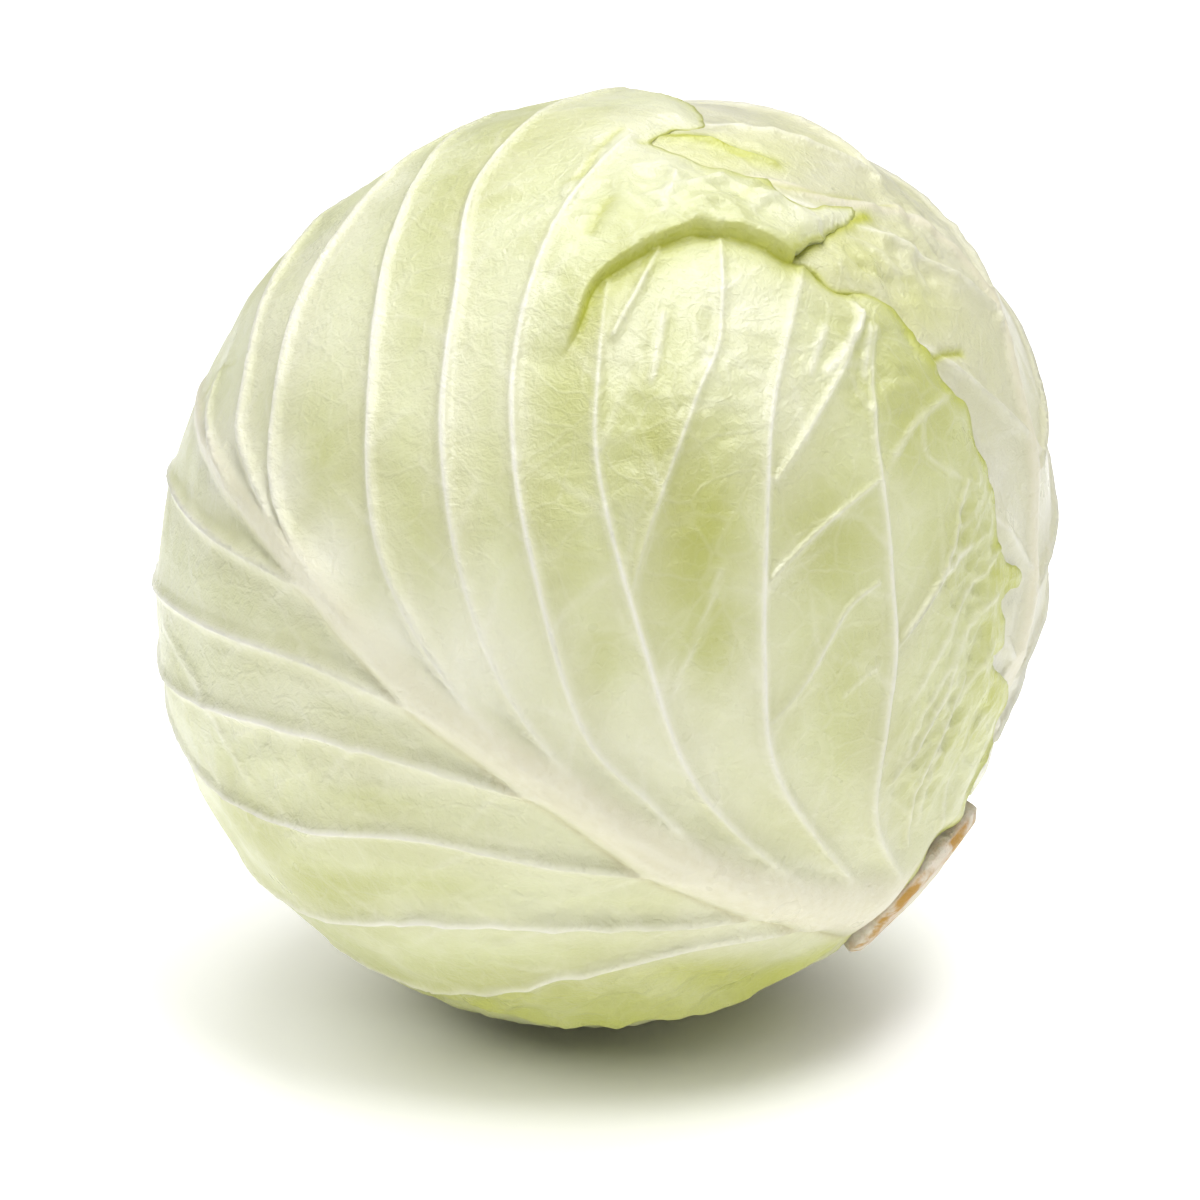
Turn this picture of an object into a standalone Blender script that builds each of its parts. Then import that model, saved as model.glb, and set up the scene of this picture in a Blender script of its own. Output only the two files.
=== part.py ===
"""A head of white cabbage lying on its side: a tight heart of inner leaves, a cut
stalk, and the five big wrapper leaves that are folded over them one on another.

Lengths are millimetres until the last step, where a mesh is written in metres.
The head lies on the plane z = 0, and the origin is under the middle of its box.
Every surface is a distance from the middle of the head for each direction, so the
leaves stack up like skins: each one lies on those under it and leaves a narrow gap.
"""
import math

import bmesh
import bpy
import numpy as np
from mathutils import Vector
from mathutils.geometry import delaunay_2d_cdt

# Driving dimensions of the head
RADIUS_ACROSS = 101.8
RADIUS_ALONG = 91.8
SWELL = 0.8
SWELL_FINENESS = 3.0
SWELL_SEED = 21
MIDDLE_HEIGHT = 98.7
MIDDLE = (-0.65, 0.76, MIDDLE_HEIGHT)
REST_SINK = 0.15
FOOT_RADIUS = 15.6
FOOT_SIDES = 10
STALK_AXIS = (0.69, -0.28, -0.66)
SHORT_AXIS = (0.89, -0.21, -0.41)
UNEVEN_SIDES = (
    # a direction on the head, how far its surface stands out there, and over what share of the radius
    ((-0.52, -0.23, -0.82), -2.6, 0.40),
    ((0.86, 0.15, 0.48), 1.8, 0.30),
)

# The cut stalk
STALK_RADIUS = 20.5
STALK_END = 95.2
STALK_ROOT_GAP = 0.5
CUT_TILT = 0.077
CUT_DOME = 1.8
COLLAR = 2.6
COLLAR_END_DEG = 25.0
STALK_SIDES = 30
STALK_PROFILE = (
    # share of the radius, and drop below the cut
    (0.97, 4.6), (1.0, 1.6), (0.95, 0.0), (0.5, 0.0),
)

# The leaves
BLADE = 1.4
MARGIN_BLADE = 0.9
GAP = 0.8
HEART_GAP = 0.7
LIFT = 1.2
LIFT_WIDTH = 14.0
RUFFLE = 0.8
RUFFLE_FINENESS = 14.0
RUFFLE_SEED = 31
BASE_CLEARANCE_DEG = 13.2
WAVE_DEG = 1.3

# How a leaf passes over the margin of the one under it
TENT_START = 8.0
TENT_END = 36.0
HEART_EASE = 4.0
COVER_START = 2.0
COVER_WIDTH = 14.0
NEAR_WIDTH = 26.0
COVERED_RIB = 0.7
COVERED_THINNING = 0.35
TALL_RIB = 7.0
FOLD_DROP = 1.0

# Mesh spacing
OUTLINE_STEP = 6.5
RIB_STEP = 9.0
WIDE_RIB = 4.0
FOLD_STEP = 5.0
FILL_STEP = 11.5
COVERED_FILL_STEP = 14.0
HEART_STEPS = 4
CHART_MERGE = 0.02
RIB_CLEAR = 0.8
MARGIN_CLEAR = 1.5

# The sketch is drawn on a plane through the middle of the head, square to a line
# of sight that looks down on it by this angle. Its points are millimetres to the
# right of the middle and above it, and are cast on to the head from the eye.
SIGHT_DOWN_DEG = 16.0
EYE_DISTANCE = 900.0
LIMB = 0.985

MM = 0.001
DEGREE = math.pi / 180


def unit(vector):
    vector = np.asarray(vector, float)
    return vector / np.linalg.norm(vector, axis=-1, keepdims=True)


def smooth(x):
    x = np.clip(x, 0.0, 1.0)
    return x * x * (3 - 2 * x)


SIGHT = SIGHT_DOWN_DEG * DEGREE
TO_EYE = np.array((0.0, -math.cos(SIGHT), math.sin(SIGHT)))
SKETCH_UP = np.array((0.0, math.sin(SIGHT), math.cos(SIGHT)))
SKETCH_RIGHT = np.array((1.0, 0.0, 0.0))
DOWN = np.array((0.0, 0.0, -1.0))
STALK = unit(STALK_AXIS)
SHORT = unit(SHORT_AXIS)


def swell(ways, seed, fineness, waves=6):
    """A slow rise and fall over the ball, between about -1 and 1."""
    draw = np.random.default_rng(seed)
    heading = unit(draw.normal(size=(waves, 3))) * draw.uniform(0.5, 1.5, (waves, 1)) * fineness
    phase = draw.uniform(0, 2 * math.pi, waves)
    return np.sin(ways @ heading.T + phase).mean(axis=-1) * 1.6


def head_radius(way):
    """The head's outer radius: a ball flattened along one axis, with a small flat spot under it."""
    along = way @ SHORT
    flattened = RADIUS_ACROSS - (RADIUS_ACROSS - RADIUS_ALONG) * along**2
    radius = flattened + SWELL * swell(way, SWELL_SEED, SWELL_FINENESS)
    for towards, amount, spread in UNEVEN_SIDES:
        away = np.linalg.norm(way - unit(towards), axis=-1) / spread
        radius = radius + amount * np.exp(-(away**2))
    down = np.maximum(-way[..., 2], 1e-6)
    return np.minimum(radius, (MIDDLE_HEIGHT + REST_SINK) / down)


def cast(sketch):
    """The directions in which the eye sees these sketch points on the head."""
    ways = []
    for right, up in sketch:
        across = math.hypot(right, up)
        radius = RADIUS_ACROSS
        for _ in range(4):
            limb = LIMB * radius / math.sqrt(1 - (radius / EYE_DISTANCE) ** 2)
            scale = min(1.0, limb / max(across, 1e-6))
            on_plane = scale * (right * SKETCH_RIGHT + up * SKETCH_UP)
            eye = EYE_DISTANCE * TO_EYE
            ray = unit(on_plane - eye)
            half = -(eye @ ray)
            inside = half**2 - EYE_DISTANCE**2 + radius**2
            hit = eye + (half - math.sqrt(max(inside, 0.0))) * ray
            radius = float(head_radius(unit(hit)))
        ways.append(unit(hit))
    return ways


class Chart:
    """A flat chart of the ball: each point is put as many degrees from the chart's
    middle as it lies from it on the ball, and towards the same side."""

    def __init__(self, middle, up):
        self.out = unit(middle)
        self.up = unit(np.asarray(up) - (np.asarray(up) @ self.out) * self.out)
        self.right = np.cross(self.up, self.out)

    def to_ball(self, flat):
        flat = np.asarray(flat, float)
        reach = np.maximum(np.hypot(flat[:, 0], flat[:, 1]), 1e-9)
        sideways = (flat[:, :1] * self.right + flat[:, 1:2] * self.up) / reach[:, None]
        turn = reach[:, None] * DEGREE
        return np.cos(turn) * self.out + np.sin(turn) * sideways

    def to_flat(self, ways):
        right, up = ways @ self.right, ways @ self.up
        across = np.maximum(np.hypot(right, up), 1e-12)
        reach = np.arctan2(across, ways @ self.out) / DEGREE
        return np.stack([right / across * reach, up / across * reach], axis=-1)

    def polar(self, pairs):
        """Directions from pairs: an angle anticlockwise from the chart's right, and
        how many degrees to go from its middle."""
        flat = [(reach * math.cos(a * DEGREE), reach * math.sin(a * DEGREE)) for a, reach in pairs]
        return list(self.to_ball(flat))


def curve(ways, step, closed=False):
    """A smooth line over the ball through these directions, with a point about every step millimetres."""
    ways = [np.asarray(way) for way in ways]
    count = len(ways)
    spans = count if closed else count - 1
    points = []
    for i in range(spans):
        if closed:
            a, b, c, d = (ways[(i + shift) % count] for shift in (-1, 0, 1, 2))
        else:
            a, b, c, d = (ways[min(max(i + shift, 0), count - 1)] for shift in (-1, 0, 1, 2))
        pieces = max(1, round(np.linalg.norm(c - b) * RADIUS_ACROSS / step))
        for k in range(pieces):
            t = k / pieces
            points.append(
                b
                + 0.5 * t * (c - a)
                + t * t * (a - 2.5 * b + 2 * c - 0.5 * d)
                + t**3 * (1.5 * (b - c) + 0.5 * (d - a))
            )
    if not closed:
        points.append(ways[-1])
    return unit(np.array(points))


def nearest(ways, line):
    """For each direction, its distance from a line over the ball in millimetres, negative
    to the line's right, and how far along the line the nearest place is, from 0 to 1."""
    start, run = line[:-1], line[1:] - line[:-1]
    length = np.linalg.norm(run, axis=1)
    before = np.concatenate([[0.0], np.cumsum(length)[:-1]])
    from_start = ways[:, None] - start
    along = np.clip((from_start * run).sum(axis=2) / length**2, 0.0, 1.0)
    away = from_start - along[..., None] * run
    distance = np.linalg.norm(away, axis=2)
    best = distance.argmin(axis=1)
    rows = np.arange(len(ways))
    left = np.cross(ways, run[best])
    side = np.where((away[rows, best] * left).sum(axis=1) < 0, -1.0, 1.0)
    share = (before[best] + along[rows, best] * length[best]) / length.sum()
    return side * distance[rows, best] * RADIUS_ACROSS, share


class Rib:
    """A raised vein, from its root to its end."""

    def __init__(self, ways, widths, heights):
        self.line = curve(ways, RIB_STEP)
        self.widths = widths
        self.heights = heights

    def shape(self, share, values):
        return np.interp(share, np.linspace(0, 1, len(values)), values)

    def relief(self, ways):
        distance, share = nearest(ways, self.line)
        across = np.clip(np.abs(distance) / self.shape(share, self.widths), 0.0, 1.0)
        return self.shape(share, self.heights) * (1 - across**2) ** 1.5

    def guides(self):
        """The crest and the two feet, as lines that the mesh follows."""
        run = np.gradient(self.line, axis=0)
        left = unit(np.cross(self.line, run))
        share = np.linspace(0, 1, len(self.line))
        half = (self.shape(share, self.widths) / RADIUS_ACROSS)[:, None]
        wide = self.widths[0] > WIDE_RIB
        offsets = (0.0, -1.0, -0.55, 0.55, 1.0) if wide else (0.0, -1.0, 1.0)
        return [unit(self.line + offset * half * left) for offset in offsets]


class Fold:
    """A place where the leaf is pleated over itself: a lip, and a slow fall behind it
    on the line's left."""

    def __init__(self, ways, heights, width):
        self.line = curve(ways, FOLD_STEP)
        self.heights = heights
        self.width = width

    def relief(self, ways):
        distance, share = nearest(ways, self.line)
        height = np.interp(share, np.linspace(0, 1, len(self.heights)), self.heights)
        behind = 1 - smooth(distance / self.width)
        before = 1 + np.clip(distance / FOLD_DROP, -1.0, 0.0)
        return height * np.where(distance < 0, before, behind)

    def guides(self):
        run = np.gradient(self.line, axis=0)
        left = unit(np.cross(self.line, run))
        return [self.line, unit(self.line - FOLD_DROP / RADIUS_ACROSS * left)]


class Leaf:
    """One wrapper leaf: its chart, its outline, and the ribs and folds on its outer face."""

    def __init__(self, name, chart, outline, ribs, folds=(), fill=FILL_STEP):
        self.name = name
        self.chart = chart
        self.outline = clear_of_stalk(curve(outline, OUTLINE_STEP, closed=True))
        self.ribs = ribs
        self.folds = folds
        self.fill = fill

    def depth(self, ways):
        """How far inside the outline each direction is, in millimetres; negative outside."""
        ring = np.vstack([self.outline, self.outline[:1]])
        distance, _ = nearest(ways, ring)
        flat, corner = self.chart.to_flat(ways), self.chart.to_flat(ring)
        x0, y0 = corner[:-1].T
        x1, y1 = corner[1:].T
        crosses = (y0 > flat[:, 1:]) != (y1 > flat[:, 1:])
        rise = np.where(np.abs(y1 - y0) < 1e-12, 1e-12, y1 - y0)
        reached = flat[:, :1] < (x1 - x0) * (flat[:, 1:] - y0) / rise + x0
        within = (crosses & reached).sum(axis=1) % 2 == 1
        return np.where(within, np.abs(distance), -np.abs(distance))

    def relief(self, ways):
        height = np.zeros(len(ways))
        for rib in self.ribs:
            height = np.maximum(height, rib.relief(ways))
        for fold in self.folds:
            height = height + fold.relief(ways)
        return height


def clear_of_stalk(ways):
    """Moves what would meet the stalk out to the ring of leaf bases round it."""
    along = np.clip(ways @ STALK, -1, 1)
    aside = unit(ways - along[:, None] * STALK)
    turn = np.maximum(np.arccos(along), BASE_CLEARANCE_DEG * DEGREE)[:, None]
    return np.cos(turn) * STALK + np.sin(turn) * aside


# The frame about the stalk: a leaf's place is its turn round the stalk, 0 towards the eye
FRONT = unit(TO_EYE - (TO_EYE @ STALK) * STALK)
UPPER = np.cross(FRONT, STALK)
STUMP_UP = unit(np.cross(TO_EYE, STALK))


def around(turn_deg, from_stalk_deg):
    turn, bend = turn_deg * DEGREE, from_stalk_deg * DEGREE
    aside = math.cos(turn) * FRONT + math.sin(turn) * UPPER
    return math.cos(bend) * STALK + math.sin(bend) * aside


def waved(pairs, seed, depth=WAVE_DEG):
    """An outline in (angle, reach) pairs, closed smoothly, with the small waves of a leaf's margin."""
    draw = np.random.default_rng(seed)
    angles = np.array([a for a, _ in pairs], float)
    reaches = np.array([r for _, r in pairs], float)
    fine = np.arange(0.0, 360.0, 5.0)
    reach = np.interp(fine, angles, reaches, period=360.0)
    for count in (9, 14, 23):
        height, phase = depth * draw.uniform(0.4, 0.9), draw.uniform(0, 2 * math.pi)
        reach += height * np.sin(count * fine * DEGREE + phase)
    return list(zip(fine, reach))


def bowed(chart, start, end, bow, steps=4):
    """Directions along a vein that leaves its root sideways and bends towards the tip."""
    start, end = np.array(start, float), np.array(end, float)
    middle = start + (0.35, bow) * (end - start)
    shares = np.linspace(0, 1, steps + 1)[:, None]
    flat = (1 - shares) ** 2 * start + 2 * shares * (1 - shares) * middle + shares**2 * end
    return list(chart.to_ball(flat))


# Paired veins in degrees on a leaf's chart: the root's height on the midrib, then the
# angle of the far end from the chart's right and how far that end is from its middle
VEIN_STAGGER_DEG = 2.0
VEINS = (
    (-62.0, -22.0, 66.0),
    (-54.0, 2.0, 68.0),
    (-42.0, 20.0, 70.0),
    (-26.0, 37.0, 70.0),
    (-8.0, 53.0, 70.0),
    (14.0, 68.0, 68.0),
)


def hidden_leaf(name, turn_deg, from_stalk_deg, tip, side, seed, sway=0.0, fill=12.5):
    """A wrapper leaf built by rule: an egg-shaped blade, a midrib from the stalk to
    the tip, and paired veins. Sway bends the midrib, in degrees."""
    chart = Chart(around(turn_deg, from_stalk_deg), -STALK)
    base = from_stalk_deg - BASE_CLEARANCE_DEG
    pairs = [
        (0, side), (30, 0.5 * (side + tip)), (60, 0.3 * side + 0.7 * tip), (90, tip),
        (120, 0.3 * side + 0.7 * tip), (150, 0.5 * (side + tip)), (180, side), (215, side + 2),
        (240, side), (255, base + 4), (270, base), (285, base + 4), (300, side), (325, side + 2),
    ]
    outline = chart.polar(waved(pairs, seed))
    midrib = [
        (0, -base),
        (0.3 * sway, -0.55 * base),
        (0.8 * sway, 0.0),
        (sway, 0.5 * tip),
        (0.6 * sway, 0.9 * tip),
    ]
    midrib_x, midrib_y = zip(*midrib)
    ribs = [Rib(chart.to_ball(midrib), (11.0, 6.5, 5.0, 3.5, 1.8), (3.2, 2.6, 1.8, 1.2, 0.5))]
    for root, angle, reach in VEINS:
        for hand in (1, -1):
            end_x = hand * reach * math.cos(angle * DEGREE) + 0.5 * sway
            end_y = reach * math.sin(angle * DEGREE)
            root_x = float(np.interp(root, midrib_y, midrib_x))
            root_y = root + VEIN_STAGGER_DEG * (hand < 0)
            ways = bowed(chart, (root_x, root_y), (end_x, end_y), 0.2)
            ribs.append(Rib(ways, (2.6, 1.8, 1.5), (1.1, 0.9, 0.4)))
    return Leaf(name, chart, outline, ribs, fill=fill)


def right_leaf():
    """The pale leaf on the right: its margin shows past the front leaf, and a cream midrib edges it."""
    leaf = hidden_leaf("leaf_right", 72.0, 84.0, 86.0, 80.0, seed=11)
    cream_midrib = [
        (87, -37), (91, -15), (93, 4), (91, 26), (88, 39), (82, 56), (67, 73), (51, 78), (34, 83),
    ]
    leaf.ribs[0] = Rib(cast(cream_midrib), (6.0, 4.0, 3.2, 2.6, 1.8), (2.4, 1.6, 1.2, 1.0, 0.6))
    rolled_strip = [(5, 93), (13, 92), (22, 91), (31, 88), (37, 86)]
    leaf.ribs.append(Rib(cast(rolled_strip), (2.6, 2.8, 2.2), (1.2, 1.8, 0.8)))
    wedge = cast([(38, 67), (46, 63), (50, 59), (57, 58), (62, 55)])
    leaf.folds = [Fold(wedge, (2.6, 3.0, 2.8, 2.0, 0.0), 22.0)]
    return leaf


def front_leaf():
    """The outermost leaf. Its midrib runs from the stalk across the front to the far left."""
    chart = Chart(TO_EYE, SKETCH_UP)
    ruffled_margin = [
        (79, -51), (82, -43), (84, -37), (87, -36), (89, -29), (84, -22), (87, -18),
        (86, -9), (90, -5), (90, -2), (86, 2), (84, 16), (81, 25), (79, 33), (75, 37),
        (69, 46), (61, 55),
    ]
    over_edge = [(57, 57), (50, 58), (45, 62), (41, 65)]
    rolled_tip = [(46, 69), (53, 73), (55, 76), (52, 77), (44, 77), (38, 79)]
    upper_margin = [(34, 82), (24, 85), (17, 88), (8, 91), (12, 94), (21, 96)]
    far_side = [
        (88, 97), (96, 102), (103, 99), (112, 104), (120, 101), (131, 105), (139, 101),
        (149, 106), (158, 103), (168, 108), (178, 104), (189, 108), (199, 104), (209, 107),
        (219, 101), (229, 103), (239, 97), (248, 98), (257, 91),
    ]
    lower_margin = [
        (262, 88), (266, 85), (271, 87), (275, 84), (280, 86), (284, 82), (289, 83), (293, 79),
    ]
    outline = cast(ruffled_margin + over_edge + rolled_tip + upper_margin)
    outline += chart.polar(far_side + lower_margin) + around_base()

    midrib = [
        (63, -72), (39, -71), (13, -62), (-8, -49), (-34, -32), (-54, -13), (-66, 1),
        (-81, 19), (-88, 33),
    ]
    midrib_widths = (14.0, 8.0, 7.0, 5.5, 4.6, 3.6, 2.2)
    midrib_heights = (4.0, 4.2, 3.8, 3.2, 2.4, 1.6, 0.8)
    ribs = [Rib(cast(midrib), midrib_widths, midrib_heights)]
    upper_veins = [
        [(-79, 16), (-84, 30), (-82, 41)],
        [(-64, -1), (-75, 20), (-77, 28), (-74, 44), (-64, 68)],
        [(-54, -13), (-67, 7), (-70, 19), (-68, 37), (-60, 63), (-45, 82)],
        [(-14, -45), (-29, -30), (-44, -6), (-49, 13), (-49, 36), (-45, 68), (-32, 90)],
        [(4, -56), (-18, -31), (-29, -5), (-34, 28), (-31, 58), (-27, 80), (-11, 96)],
        [(28, -67), (10, -51), (-4, -36), (-14, -4), (-19, 24), (-18, 48), (-8, 75), (6, 91)],
        [(42, -68), (20, -48), (8, -16), (-1, 19), (-1, 41), (1, 60)],
        [(52, -67), (37, -46), (34, -20), (35, 15), (37, 37), (43, 64)],
        [(61, -65), (57, -52), (62, -19), (61, 0), (58, 29), (58, 50)],
    ]
    lower_veins = [
        [(-62, -6), (-84, 6), (-93, 17)],
        [(-34, -34), (-62, -22), (-84, -14), (-97, -6)],
        [(-14, -50), (-45, -42), (-71, -35), (-93, -25)],
        [(16, -66), (-8, -65), (-40, -59), (-68, -56), (-91, -41)],
        [(34, -74), (-8, -78), (-40, -77), (-65, -74)],
        [(44, -76), (19, -82), (-9, -89), (-36, -91)],
    ]
    branches = [
        [(2, 48), (8, 59), (12, 67)],
        [(6, -8), (10, 7), (20, 35), (25, 48), (25, 69)],
        [(37, 17), (43, 26), (54, 47), (55, 53)],
        [(35, -5), (47, 7), (59, 17)],
        [(36, -34), (43, -26), (52, -11), (59, -5)],
        [(63, -18), (73, -2), (78, 17)],
        [(64, -60), (66, -51), (73, -36), (78, -25)],
        [(61, -47), (67, -40), (72, -31), (75, -23)],
        [(77, -52), (80, -45), (83, -39)],
    ]
    ribs += [Rib(cast(line), (3.0, 2.2, 1.8, 1.6), (1.6, 1.2, 0.9, 0.6)) for line in upper_veins]
    ribs += [Rib(cast(line), (3.2, 2.4, 1.8), (1.4, 1.1, 0.5)) for line in lower_veins]
    ribs += [Rib(cast(line), (1.6, 1.4), (0.8, 0.5)) for line in branches]

    curled_margin = [(48, -83), (30, -92), (10, -96), (-8, -98), (-26, -95)]
    ribs.append(Rib(cast(curled_margin), (5.0, 8.0, 9.0, 5.0), (1.0, 2.2, 2.2, 0.6)))

    arch = [(-10, 42), (-6, 50), (-2, 59), (6, 65), (17, 70), (27, 70), (40, 65)]
    folds = [Fold(cast(arch), (0.0, 1.4, 2.2, 2.6, 2.8, 2.8, 2.6), 30.0)]
    return Leaf("leaf_front", chart, outline, ribs, folds)


def around_base():
    """The front leaf's base, which clasps the near side of the cut stalk."""
    return [around(turn, BASE_CLEARANCE_DEG) for turn in (-84, -60, -30, 0, 28, 46)]


LEAVES = [
    hidden_leaf("leaf_crown", 150.0, 104.0, 84.0, 72.0, seed=3, sway=4.0, fill=14.0),
    hidden_leaf("leaf_lower", 268.0, 82.0, 82.0, 78.0, seed=5, sway=-5.0),
    hidden_leaf("leaf_back", 206.0, 88.0, 84.0, 80.0, seed=8, sway=5.0),
    right_leaf(),
    front_leaf(),
]


def all_depths(ways):
    return [leaf.depth(ways) for leaf in LEAVES]


def heart_radius(ways, depths):
    """The heart: what is left of the head under the leaves, with a collar round the stalk."""
    bend = np.arccos(np.clip(ways @ STALK, -1, 1)) / DEGREE
    outwards = (bend - BASE_CLEARANCE_DEG) / (COLLAR_END_DEG - BASE_CLEARANCE_DEG)
    radius = head_radius(ways) + COLLAR * (1 - smooth(outwards))
    for depth in depths:
        radius = radius - (BLADE + GAP) * smooth((depth + TENT_END) / (TENT_END + HEART_EASE))
    return radius


def inner_radius(ways, depths, index):
    """The inner face of a leaf: on the heart and the leaves under it, with a lifted margin."""
    radius = heart_radius(ways, depths) + GAP
    for depth in depths[:index]:
        radius = radius + (BLADE + GAP) * smooth((depth + TENT_END) / (TENT_END - TENT_START))
    ruffle = RUFFLE * swell(ways, RUFFLE_SEED + index, RUFFLE_FINENESS)
    lift = (LIFT + ruffle) * (1 - smooth(depths[index] / LIFT_WIDTH))
    for depth in depths[index + 1:]:
        lift = lift * (1 - smooth((depth + COVER_START + COVER_WIDTH) / COVER_WIDTH))
    return radius + lift


def bare_relief(leaf, ways, depths, index):
    """The leaf's relief, lowered where other leaves lie over it."""
    relief = leaf.relief(ways)
    for depth in depths[index + 1:]:
        hidden = smooth((depth + COVER_START) / COVER_WIDTH)
        near = smooth((depth + NEAR_WIDTH) / NEAR_WIDTH)
        relief = np.minimum(relief, COVERED_RIB * (1 - hidden) + TALL_RIB * (1 - near))
    return relief


def outer_radius(leaf, ways, depths, index):
    blade = MARGIN_BLADE + (BLADE - MARGIN_BLADE) * smooth(depths[index] / LIFT_WIDTH)
    for depth in depths[index + 1:]:
        blade = np.minimum(blade, BLADE - COVERED_THINNING * smooth(depth / COVER_WIDTH))
    return inner_radius(ways, depths, index) + blade + bare_relief(leaf, ways, depths, index)


def placed(ways, radius):
    """Points of a surface, none of them under the plane that the head lies on."""
    points = ways * radius[:, None] + MIDDLE
    points[:, 2] = np.maximum(points[:, 2], 0.0)
    return points


def even_directions(step):
    """Directions spread evenly over the ball, about step millimetres apart."""
    count = int(4 * math.pi * RADIUS_ACROSS**2 / (0.866 * step**2))
    index = np.arange(count) + 0.5
    height = 1 - 2 * index / count
    turn = index * math.pi * (3 - math.sqrt(5))
    across = np.sqrt(1 - height**2)
    return np.stack([across * np.cos(turn), across * np.sin(turn), height], axis=-1)


def covered(ways, index):
    """How far each direction lies inside the leaves over this one, in millimetres."""
    above = [leaf.depth(ways) for leaf in LEAVES[index + 1:]]
    return np.max(above, axis=0) if above else np.full(len(ways), -1000.0)


def rests(leaf, index):
    """Whether this leaf is the outermost one where the head meets the surface."""
    return covered(DOWN[None], index)[0] < 0 < leaf.depth(DOWN[None])[0]


def foot():
    """The middle and the corners of the flat spot that the head rests on."""
    turn = np.arange(FOOT_SIDES) * 2 * math.pi / FOOT_SIDES
    ring = np.stack([np.cos(turn), np.sin(turn), np.zeros(FOOT_SIDES)], axis=-1) * FOOT_RADIUS
    return unit(np.vstack([ring, np.zeros((1, 3))]) + MIDDLE_HEIGHT * DOWN)


def unbroken(line, keep):
    """The stretches of a line whose points are all kept."""
    pieces = np.split(np.arange(len(line)), np.flatnonzero(np.diff(keep)) + 1)
    return [line[piece] for piece in pieces if keep[piece[0]] and len(piece) > 1]


def leaf_triangles(leaf, index):
    """The leaf's triangles in its chart, along its outline, its ribs and its folds."""
    points = [leaf.outline]
    count = len(leaf.outline)
    edges = [(i, (i + 1) % count) for i in range(count)]
    midrib = leaf.ribs[0]
    lines = [guide for fold in leaf.folds for guide in fold.guides()] + midrib.guides()
    for rib in leaf.ribs[1:]:
        for guide in rib.guides():
            away, share = nearest(guide, midrib.line)
            lines += unbroken(guide, np.abs(away) > midrib.shape(share, midrib.widths) + RIB_CLEAR)
    for line in lines:
        bare = (leaf.depth(line) > MARGIN_CLEAR) & (covered(line, index) < COVER_WIDTH)
        for piece in unbroken(line, bare):
            edges += [(count + i, count + i + 1) for i in range(len(piece) - 1)]
            points.append(piece)
            count += len(piece)
    if rests(leaf, index):
        points.append(foot())
    held = np.vstack(points)
    for step, bare in ((leaf.fill, True), (COVERED_FILL_STEP, False)):
        fill = even_directions(step)
        fill = fill[leaf.depth(fill) > 0.55 * step]
        fill = fill[(covered(fill, index) < COVER_WIDTH) == bare]
        apart = np.linalg.norm(fill[:, None] - held, axis=2).min(axis=1) * RADIUS_ACROSS
        points.append(fill[apart > 0.5 * step])
    flat = leaf.chart.to_flat(np.vstack(points))
    result = delaunay_2d_cdt([Vector(p) for p in flat], edges, [], 0, CHART_MERGE)
    flat = np.array([tuple(p) for p in result[0]])
    faces = np.array([tuple(face) for face in result[2]])
    within = leaf.depth(leaf.chart.to_ball(flat[faces].mean(axis=1))) > 0
    used, renumbered = np.unique(faces[within], return_inverse=True)
    return flat[used], [tuple(face) for face in renumbered.reshape(-1, 3).tolist()]


def new_object(name, points, faces, material):
    mesh = bpy.data.meshes.new(name)
    mesh.from_pydata([tuple(p) for p in np.asarray(points) * MM], [], faces)
    mesh.validate()
    mesh.shade_smooth()
    mesh.set_sharp_from_angle(angle=50 * DEGREE)
    mesh.materials.append(material)
    thing = bpy.data.objects.new(name, mesh)
    COLLECTION.objects.link(thing)
    return thing


def new_material(name, colour, roughness):
    material = bpy.data.materials.new(name)
    material.use_nodes = True
    shader = material.node_tree.nodes["Principled BSDF"]
    shader.inputs["Base Color"].default_value = (*colour, 1.0)
    shader.inputs["Roughness"].default_value = roughness
    shader.inputs["Metallic"].default_value = 0.0
    material.diffuse_color = (*colour, 1.0)
    return material


def make_leaf(leaf, index, material):
    """A closed blade: an outer face, an inner face split into the same triangles, and a rim."""
    flat, faces = leaf_triangles(leaf, index)
    ways = leaf.chart.to_ball(flat)
    depths = all_depths(ways)
    depths[index] = np.maximum(depths[index], 0.0)
    outer = placed(ways, outer_radius(leaf, ways, depths, index))
    on_foot = np.hypot(ways[:, 0], ways[:, 1]) * MIDDLE_HEIGHT < FOOT_RADIUS * 1.02
    if rests(leaf, index):
        outer[on_foot & (ways[:, 2] < 0), 2] = 0.0
    inner = placed(ways, inner_radius(ways, depths, index))
    count = len(ways)
    owners = {}
    for face in faces:
        for a, b in zip(face, face[1:] + face[:1]):
            owners[(a, b)] = face
    rim = [(a, b) for a, b in owners if (b, a) not in owners]
    solid = list(faces)
    solid += [tuple(i + count for i in reversed(face)) for face in faces]
    for a, b in rim:
        solid += [(b, a, a + count), (b, a + count, b + count)]
    return new_object(leaf.name, np.vstack([outer, inner]), solid, material)


def make_heart(material):
    """The tight inner head, with the low steps of its overlapping leaves."""
    shape = bmesh.new()
    bmesh.ops.create_icosphere(shape, subdivisions=HEART_STEPS, radius=1.0)
    ways = unit(np.array([v.co for v in shape.verts]))
    radius = heart_radius(ways, all_depths(ways))
    for vertex, point in zip(shape.verts, ways * (radius - HEART_GAP)[:, None]):
        vertex.co = Vector(point + MIDDLE) * MM
    mesh = bpy.data.meshes.new("inner_head")
    shape.to_mesh(mesh)
    shape.free()
    mesh.shade_smooth()
    mesh.materials.append(material)
    thing = bpy.data.objects.new("inner_head", mesh)
    COLLECTION.objects.link(thing)
    return thing


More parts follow.
